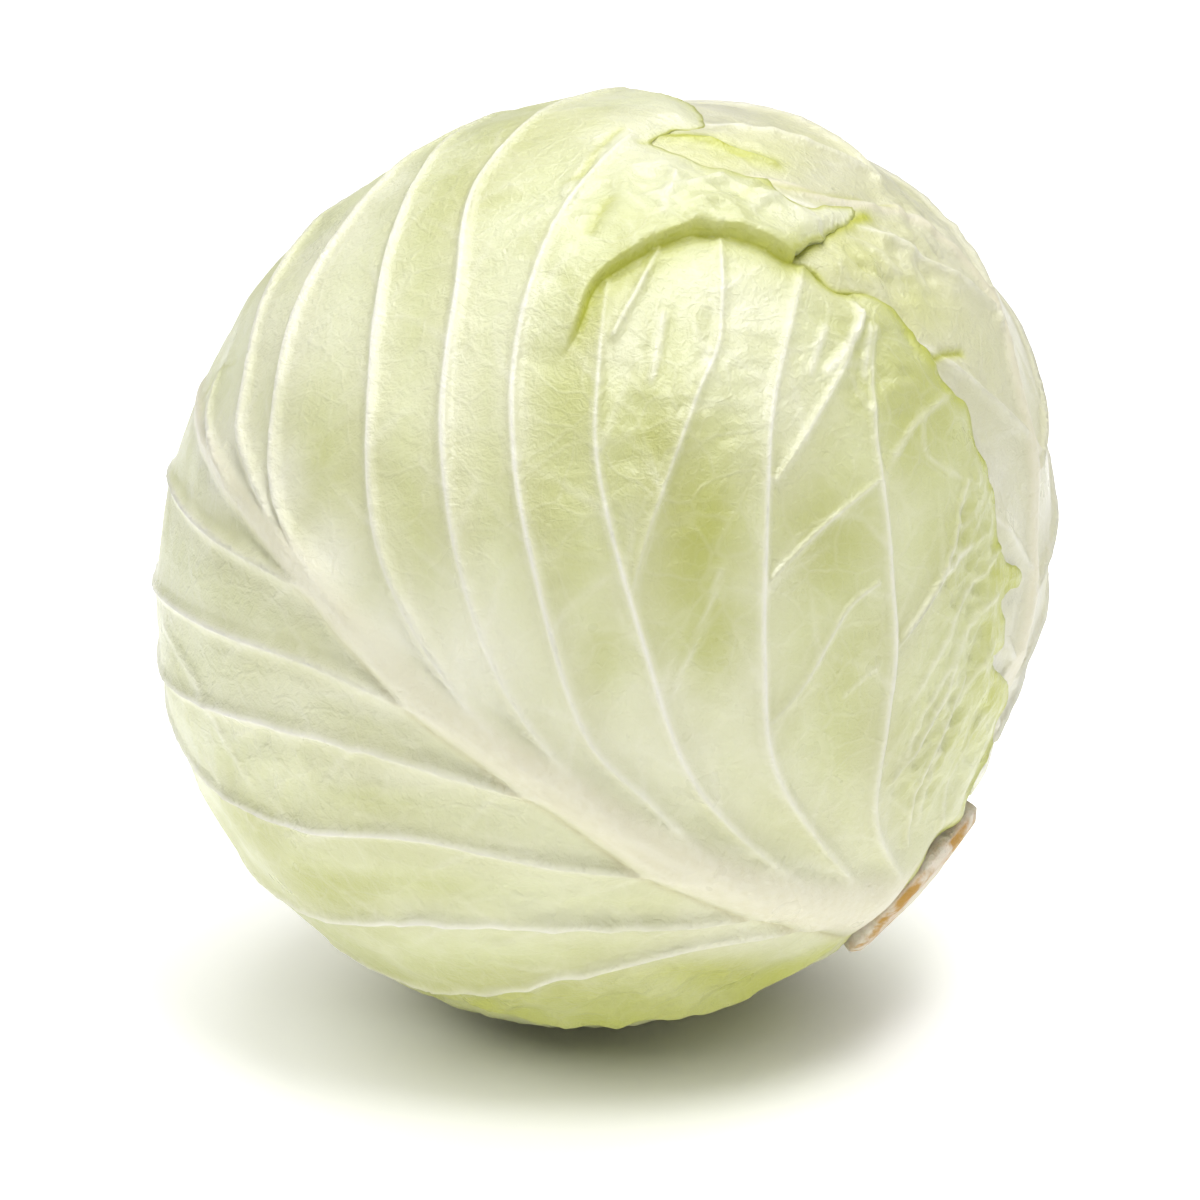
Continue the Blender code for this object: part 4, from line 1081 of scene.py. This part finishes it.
def leaf_material(name, body, green, pale, skirt, rib, midrib, margin):
    n = Nodes(name)
    mottle = n.noise(28.0, 4.0, 0.55, 0.3)
    patches = n.range(mottle, 0.38, 0.68)
    colour = n.mix(n.math("MULTIPLY", patches, 0.50), body, green)
    blanched = n.range(n.noise(17.0, 3.0, 0.5, 0.4), 0.52, 0.70)
    colour = n.mix(n.math("MULTIPLY", blanched, 0.40), colour, pale)
    colour = n.mix(n.math("MULTIPLY", n.field("olive"), n.range(mottle, 0.15, 0.6, 0.65, 1.0)), colour, green)

    place = n.warped(60.0, 0.012)
    big = n.range(n.cells(110.0, place), 0.0, 0.09, 1.0, 0.0)
    small = n.range(n.cells(330.0, place), 0.0, 0.11, 1.0, 0.0)
    away = n.math("SUBTRACT", 1.0, n.field("midrib"), clamp=True)
    net = n.math("MULTIPLY", n.math("MAXIMUM", big, n.math("MULTIPLY", small, 0.45)), away)
    colour = n.mix(n.math("MULTIPLY", net, 0.10), colour, pale)

    colour = n.mix(n.math("MULTIPLY", n.field("skirt"), 0.85, clamp=True), colour, skirt)
    # Pale fields: real paler zones, and a painted highlight along the midrib's upper edge.
    colour = n.mix(n.math("MULTIPLY", n.field("pale"), 0.75), colour, pale)
    colour = n.mix(n.math("MULTIPLY", n.field("branch"), 0.22, clamp=True), colour, rib)
    colour = n.mix(n.math("MULTIPLY", n.field("rib"), 0.9, clamp=True), colour, rib)
    striped = n.mix(n.math("MULTIPLY", n.field("streak"), 0.3), midrib, rib)
    colour = n.mix(n.math("MULTIPLY", n.field("midrib"), 0.8, clamp=True), colour, striped)
    # Painted shadow along the midrib's lower edge.
    colour = n.mix(n.math("MULTIPLY", n.field("under"), 0.6, clamp=True), colour, rgb(190, 182, 140))
    colour = n.mix(n.math("MULTIPLY", n.field("margin"), 0.65, clamp=True), colour, margin)
    colour = n.mix(n.math("MULTIPLY", n.field("edge"), 0.6, clamp=True), colour, margin)
    # Painted shadow: yellow-green lines under fold lips, along creases and on held rims, with the real
    # yellow-green of the margin tabs.
    colour = n.mix(n.math("MULTIPLY", n.field("painted_shadow_and_tabs"), 0.9, clamp=True), colour, rgb(184, 188, 52))
    specks = n.range(n.noise(700.0, 2.0), 0.70, 0.80)
    colour = n.mix(n.math("MULTIPLY", specks, 0.10), colour, rgb(170, 160, 110))
    n.put(n.shader.inputs["Base Color"], colour)

    crease = n.noise(420.0, 5.0, 0.62, 0.6)
    wrinkle = n.math("ABSOLUTE", n.math("SUBTRACT", n.noise(150.0, 3.0, 0.55, 1.2), 0.5))
    pores = n.noise(1900.0, 2.0, 0.5)
    height = n.math("ADD", n.math("MULTIPLY", net, 0.14), n.math("MULTIPLY", crease, 0.8))
    height = n.math("ADD", height, n.math("MULTIPLY", pores, 0.18))
    calm = n.math("SUBTRACT", away, n.field("rib"), clamp=True)
    height = n.math("SUBTRACT", height, n.math("MULTIPLY", n.math("MULTIPLY", wrinkle, calm), 0.8))
    n.put(n.shader.inputs["Normal"], n.bump(height, 0.9, 0.0006))
    gloss = n.range(n.noise(55.0, 3.0), 0.3, 0.7, 0.27, 0.42)
    n.put(n.shader.inputs["Roughness"], gloss)
    n.shader.inputs["Specular IOR Level"].default_value = 0.45
    n.shader.inputs["Subsurface Weight"].default_value = 0.07
    n.shader.inputs["Subsurface Radius"].default_value = (1.0, 0.95, 0.45)
    n.shader.inputs["Subsurface Scale"].default_value = 0.003
    n.shader.inputs["Coat Weight"].default_value = 0.25
    n.shader.inputs["Coat Roughness"].default_value = 0.25
    return n.material


def heart_material():
    n = Nodes("dressed_heart")
    patches = n.range(n.noise(24.0, 4.0, 0.55), 0.35, 0.7)
    colour = n.mix(patches, rgb(232, 232, 206), rgb(214, 220, 168))
    fibres = n.noise(60.0, 3.0, 0.5, 0.8, n.stretched((1.0, 1.0, 4.0)))
    colour = n.mix(n.range(fibres, 0.5, 0.75, 0.0, 0.5), colour, rgb(240, 238, 224))
    n.put(n.shader.inputs["Base Color"], colour)
    n.put(n.shader.inputs["Roughness"], n.range(fibres, 0.3, 0.7, 0.38, 0.52))
    n.put(n.shader.inputs["Normal"], n.bump(n.noise(500.0, 4.0), 0.4, 0.0004))
    n.shader.inputs["Subsurface Weight"].default_value = 0.2
    n.shader.inputs["Subsurface Scale"].default_value = 0.004
    return n.material


def stalk_material():
    n = Nodes("dressed_stalk")
    stain = n.range(n.noise(120.0, 5.0, 0.6, 0.5), 0.46, 0.66)
    fine = n.noise(900.0, 4.0, 0.6)
    colour = n.mix(n.math("MULTIPLY", stain, n.field("cut")), rgb(224, 214, 196), rgb(186, 142, 62))
    colour = n.mix(n.math("MULTIPLY", n.field("ring"), 0.5), colour, rgb(184, 146, 84))
    colour = n.mix(n.range(fine, 0.55, 0.75, 0.0, 0.35), colour, rgb(196, 172, 128))
    colour = n.mix(n.math("MULTIPLY", n.field("pith"), 0.7), colour, rgb(232, 226, 206))
    n.put(n.shader.inputs["Base Color"], colour)
    n.put(n.shader.inputs["Roughness"], n.range(fine, 0.2, 0.8, 0.62, 0.85))
    height = n.math("ADD", fine, n.math("MULTIPLY", n.noise(260.0, 4.0, 0.6), 1.5))
    n.put(n.shader.inputs["Normal"], n.bump(height, 0.8, 0.0006))
    n.shader.inputs["Subsurface Weight"].default_value = 0.1
    n.shader.inputs["Subsurface Scale"].default_value = 0.002
    return n.material


def make_heart(depths_of):
    shape = bmesh.new()
    bmesh.ops.create_icosphere(shape, subdivisions=6, radius=1.0)
    ways = unit(np.array([v.co for v in shape.verts]))
    faces = np.array([[v.index for v in face.verts] for face in shape.faces])
    shape.free()
    radius = heart_radius(ways, depths_of(ways)) - HEART_GAP
    folds = np.abs(swell(ways, 5, 7.0, 5))
    radius = radius - 0.25 * np.exp(-(folds / 0.05) ** 2) + 0.12 * swell(ways, 6, 60.0)
    piece = new_piece("dressed_heart", placed(ways, radius), faces, heart_material())
    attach(piece, "root")
    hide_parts("inner_head")


def make_stalk(depths_of):
    """The cut stalk: a butt with a ridged side, and a cut face with its ring, pith and knife marks."""
    sides = 160
    turn = np.arange(sides) * 2 * math.pi / sides
    uneven = 1 + 0.025 * np.sin(2 * turn + 0.6) + 0.015 * np.sin(5 * turn + 2.0)
    aside = np.cos(turn)[:, None] * FRONT + np.sin(turn)[:, None] * UPPER
    spread = STALK_RADIUS / STALK_END
    ridges = 0.12 * np.sin(23 * turn + 1.0) + 0.10 * np.sin(37 * turn)
    rows, cut, ring, pith = [], [], [], []

    def add_row(points, cut_share, ring_share, pith_share):
        rows.append(points)
        cut.append(np.full(sides, cut_share))
        ring.append(np.full(sides, ring_share))
        pith.append(np.full(sides, pith_share))

    for share in (0.45, 0.7, 0.92):
        ways = unit(STALK + spread * share * uneven[:, None] * aside)
        radius = heart_radius(ways, depths_of(ways)) + STALK_ROOT_GAP
        add_row(ways * radius[:, None], 0.0, 0.0, 0.0)
    tilt = CUT_TILT * STALK_RADIUS * (aside @ STUMP_UP)
    for step in range(6):
        share = 0.965 + 0.035 * math.sin(0.5 * math.pi * step / 5)
        height = STALK_END + STUMP_RAISE - 4.8 + 3.4 * step / 5 - tilt
        reach = STALK_RADIUS * share * uneven + ridges
        add_row(height[:, None] * STALK + reach[:, None] * aside, 0.15 + 0.05 * step, 0.0, 0.0)
    for step in range(26):
        share = 0.985 * (1 - step / 26)
        dome = CUT_DOME * (1 - share**2) + 0.10 * math.sin(9.0 * share)
        place = share * STALK_RADIUS * uneven
        marks = 0.10 * np.sin(0.55 * place * np.cos(turn - 0.7) * 3.1 + 0.6 * np.sin(turn * 3))
        fine = 0.08 * swell(aside * (0.2 + share), 301, 26.0)
        fall = 1.0 * smooth((share - 0.90) / 0.1)
        height = STALK_END + STUMP_RAISE - 0.15 + dome - fall + (marks + fine) * smooth((1 - share) / 0.08) - share * tilt
        ring_share = 0.5 * math.exp(-((share - 0.80) / 0.07) ** 2)
        pith_share = 1 - smooth((share - 0.35) / 0.25)
        add_row(height[:, None] * STALK + place[:, None] * aside, 1.0, ring_share, float(pith_share))
    count = len(rows)
    ends = [STALK * float(heart_radius(STALK[None], depths_of(STALK[None]))[0] + STALK_ROOT_GAP)]
    ends.append(STALK * (STALK_END + STUMP_RAISE + CUT_DOME - 0.2))
    points = np.vstack(rows + [np.array(ends)])
    root, top = count * sides, count * sides + 1
    i = np.arange(sides)
    j = (i + 1) % sides
    faces = [np.stack([np.full(sides, root), i, j], axis=1)]
    faces.append(np.stack([np.full(sides, top), (count - 1) * sides + j, (count - 1) * sides + i], axis=1))
    for row in range(count - 1):
        a, b = row * sides, (row + 1) * sides
        faces.append(np.stack([a + j, a + i, b + i], axis=1))
        faces.append(np.stack([a + j, b + i, b + j], axis=1))
    fields = {
        "cut": np.concatenate(cut + [np.array((0.0, 1.0))]),
        "ring": np.concatenate(ring + [np.zeros(2)]),
        "pith": np.concatenate(pith + [np.array((0.0, 1.0))]),
    }
    piece = new_piece("dressed_stalk", points + MIDDLE, np.vstack(faces), stalk_material(), fields)
    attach(piece, "root")
    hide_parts("stalk")


def make_floor():
    shape = bmesh.new()
    bmesh.ops.create_grid(shape, x_segments=24, y_segments=24, size=6.0)
    mesh = bpy.data.meshes.new("floor")
    shape.to_mesh(mesh)
    shape.free()
    n = Nodes("studio_floor")
    n.put(n.shader.inputs["Base Color"], (*FLOOR_COLOUR, 1.0))
    n.put(n.shader.inputs["Roughness"], n.range(n.noise(3.0, 2.0), 0.3, 0.7, 0.75, 0.85))
    n.put(n.shader.inputs["Emission Color"], (1.0, 1.0, 1.0, 1.0))
    # Painted light: the floor glows, with no emission close under the head and more with distance from it, so it
    # reads white away from the head and lights the head's underside.
    away = n.add("ShaderNodeVectorMath", operation="LENGTH")
    n.put(away.inputs[0], n.place)
    near = n.range(away.outputs["Value"], *FLOOR_GLOW_FROM, *FLOOR_GLOW)
    far = n.range(away.outputs["Value"], *FAR_GLOW_FROM, *FAR_GLOW)
    n.put(n.shader.inputs["Emission Strength"], n.math("ADD", near, far))
    mesh.materials.append(n.material)
    floor = bpy.data.objects.new("floor", mesh)
    floor.location = (0.0, 0.0, -0.0002)
    bpy.context.scene.collection.objects.link(floor)


# Studio light
WORLD_LIGHT = 0.20
FLOOR_COLOUR = (0.92, 0.92, 0.92)
# Painted light on the floor: emission strengths, and the distances in metres from the head over which each rises.
FLOOR_GLOW = (0.0, 0.42)
FLOOR_GLOW_FROM = (0.03, 0.09)
FAR_GLOW = (0.0, 0.3)
FAR_GLOW_FROM = (0.3, 1.0)
KEY_POWER = 8.3
KEY_SIZE = 0.45
TOP_POWER = 16.0
SIDE_POWER = 3.2


def area_light(name, direction, distance, size, power):
    data = bpy.data.lights.new(name, "AREA")
    data.shape = "DISK"
    data.size = size
    data.energy = power
    lamp = bpy.data.objects.new(name, data)
    middle = Vector(MIDDLE) * MM
    way = Vector(unit(direction))
    lamp.location = middle + way * distance
    lamp.rotation_euler = way.to_track_quat("Z", "Y").to_euler()
    bpy.context.scene.collection.objects.link(lamp)


def make_studio():
    world = bpy.data.worlds.new("studio")
    world.use_nodes = True
    background = world.node_tree.nodes["Background"]
    background.inputs["Color"].default_value = (1.0, 1.0, 1.0, 1.0)
    background.inputs["Strength"].default_value = WORLD_LIGHT
    bpy.context.scene.world = world
    key = 0.16 * SKETCH_RIGHT + 0.70 * SKETCH_UP + 0.69 * TO_EYE
    area_light("key", key, 1.6, KEY_SIZE, KEY_POWER)
    side = -0.75 * SKETCH_RIGHT + 0.45 * SKETCH_UP + 0.50 * TO_EYE
    area_light("side", side, 1.5, 0.6, SIDE_POWER)
    area_light("top", (0.1, 0.1, 1.0), 1.3, 1.2, TOP_POWER)
    bpy.context.scene.view_settings.view_transform = "Standard"


# Camera: the head's middle stands at (603, 560) in the photo's 1200 x 1200 frame,
# and one pixel there is this many millimetres at the head's distance
PIXEL = 0.215
FRAME_PIXELS = 1200
HEAD_PIXEL = (603.0, 560.0)
SENSOR = 36.0


def make_camera():
    data = bpy.data.cameras.new("camera")
    data.sensor_width = SENSOR
    data.lens = SENSOR * EYE_DISTANCE / (FRAME_PIXELS * PIXEL)
    camera = bpy.data.objects.new("camera", data)
    right = (HEAD_PIXEL[0] - FRAME_PIXELS / 2) * PIXEL
    up = (FRAME_PIXELS / 2 - HEAD_PIXEL[1]) * PIXEL
    aim = np.array(MIDDLE) - right * SKETCH_RIGHT - up * SKETCH_UP
    eye = np.array(MIDDLE) + EYE_DISTANCE * TO_EYE
    camera.location = Vector(eye) * MM
    camera.rotation_euler = Vector(eye - aim).to_track_quat("Z", "Y").to_euler()
    bpy.context.scene.collection.objects.link(camera)
    bpy.context.scene.camera = camera


def main():
    fine = even_directions(FINE_STEP)
    fine_depths = [leaf.depth(fine) for leaf in LEAVES]

    def depths_of(ways):
        return [leaf.depth(ways) for leaf in LEAVES]

    looks = {
        "leaf_crown": dict(body=rgb(220, 221, 178), green=rgb(200, 202, 132), slot="pale_leaf"),
        "leaf_lower": dict(body=rgb(212, 214, 160), green=rgb(186, 188, 100), slot="green_leaf"),
        "leaf_back": dict(body=rgb(214, 216, 166), green=rgb(188, 190, 104), slot="green_leaf"),
        "leaf_right": dict(body=rgb(213, 211, 188), green=rgb(208, 210, 142), slot="pale_leaf"),
        "leaf_front": dict(body=rgb(223, 226, 184), green=rgb(174, 178, 76), slot="green_leaf"),
    }
    for index, leaf in enumerate(LEAVES):
        look = looks[leaf.name]
        material = leaf_material(
            "dressed_" + leaf.name,
            look["body"],
            look["green"],
            pale=rgb(242, 240, 222),
            skirt=rgb(212, 210, 180),
            rib=rgb(246, 244, 232),
            midrib=rgb(222, 216, 188),
            margin=rgb(188, 193, 76),
        )
        piece = make_leaf(leaf, index, material, fine, fine_depths)
    make_heart(depths_of)
    make_stalk(depths_of)
    make_floor()
    make_studio()
    make_camera()


main()
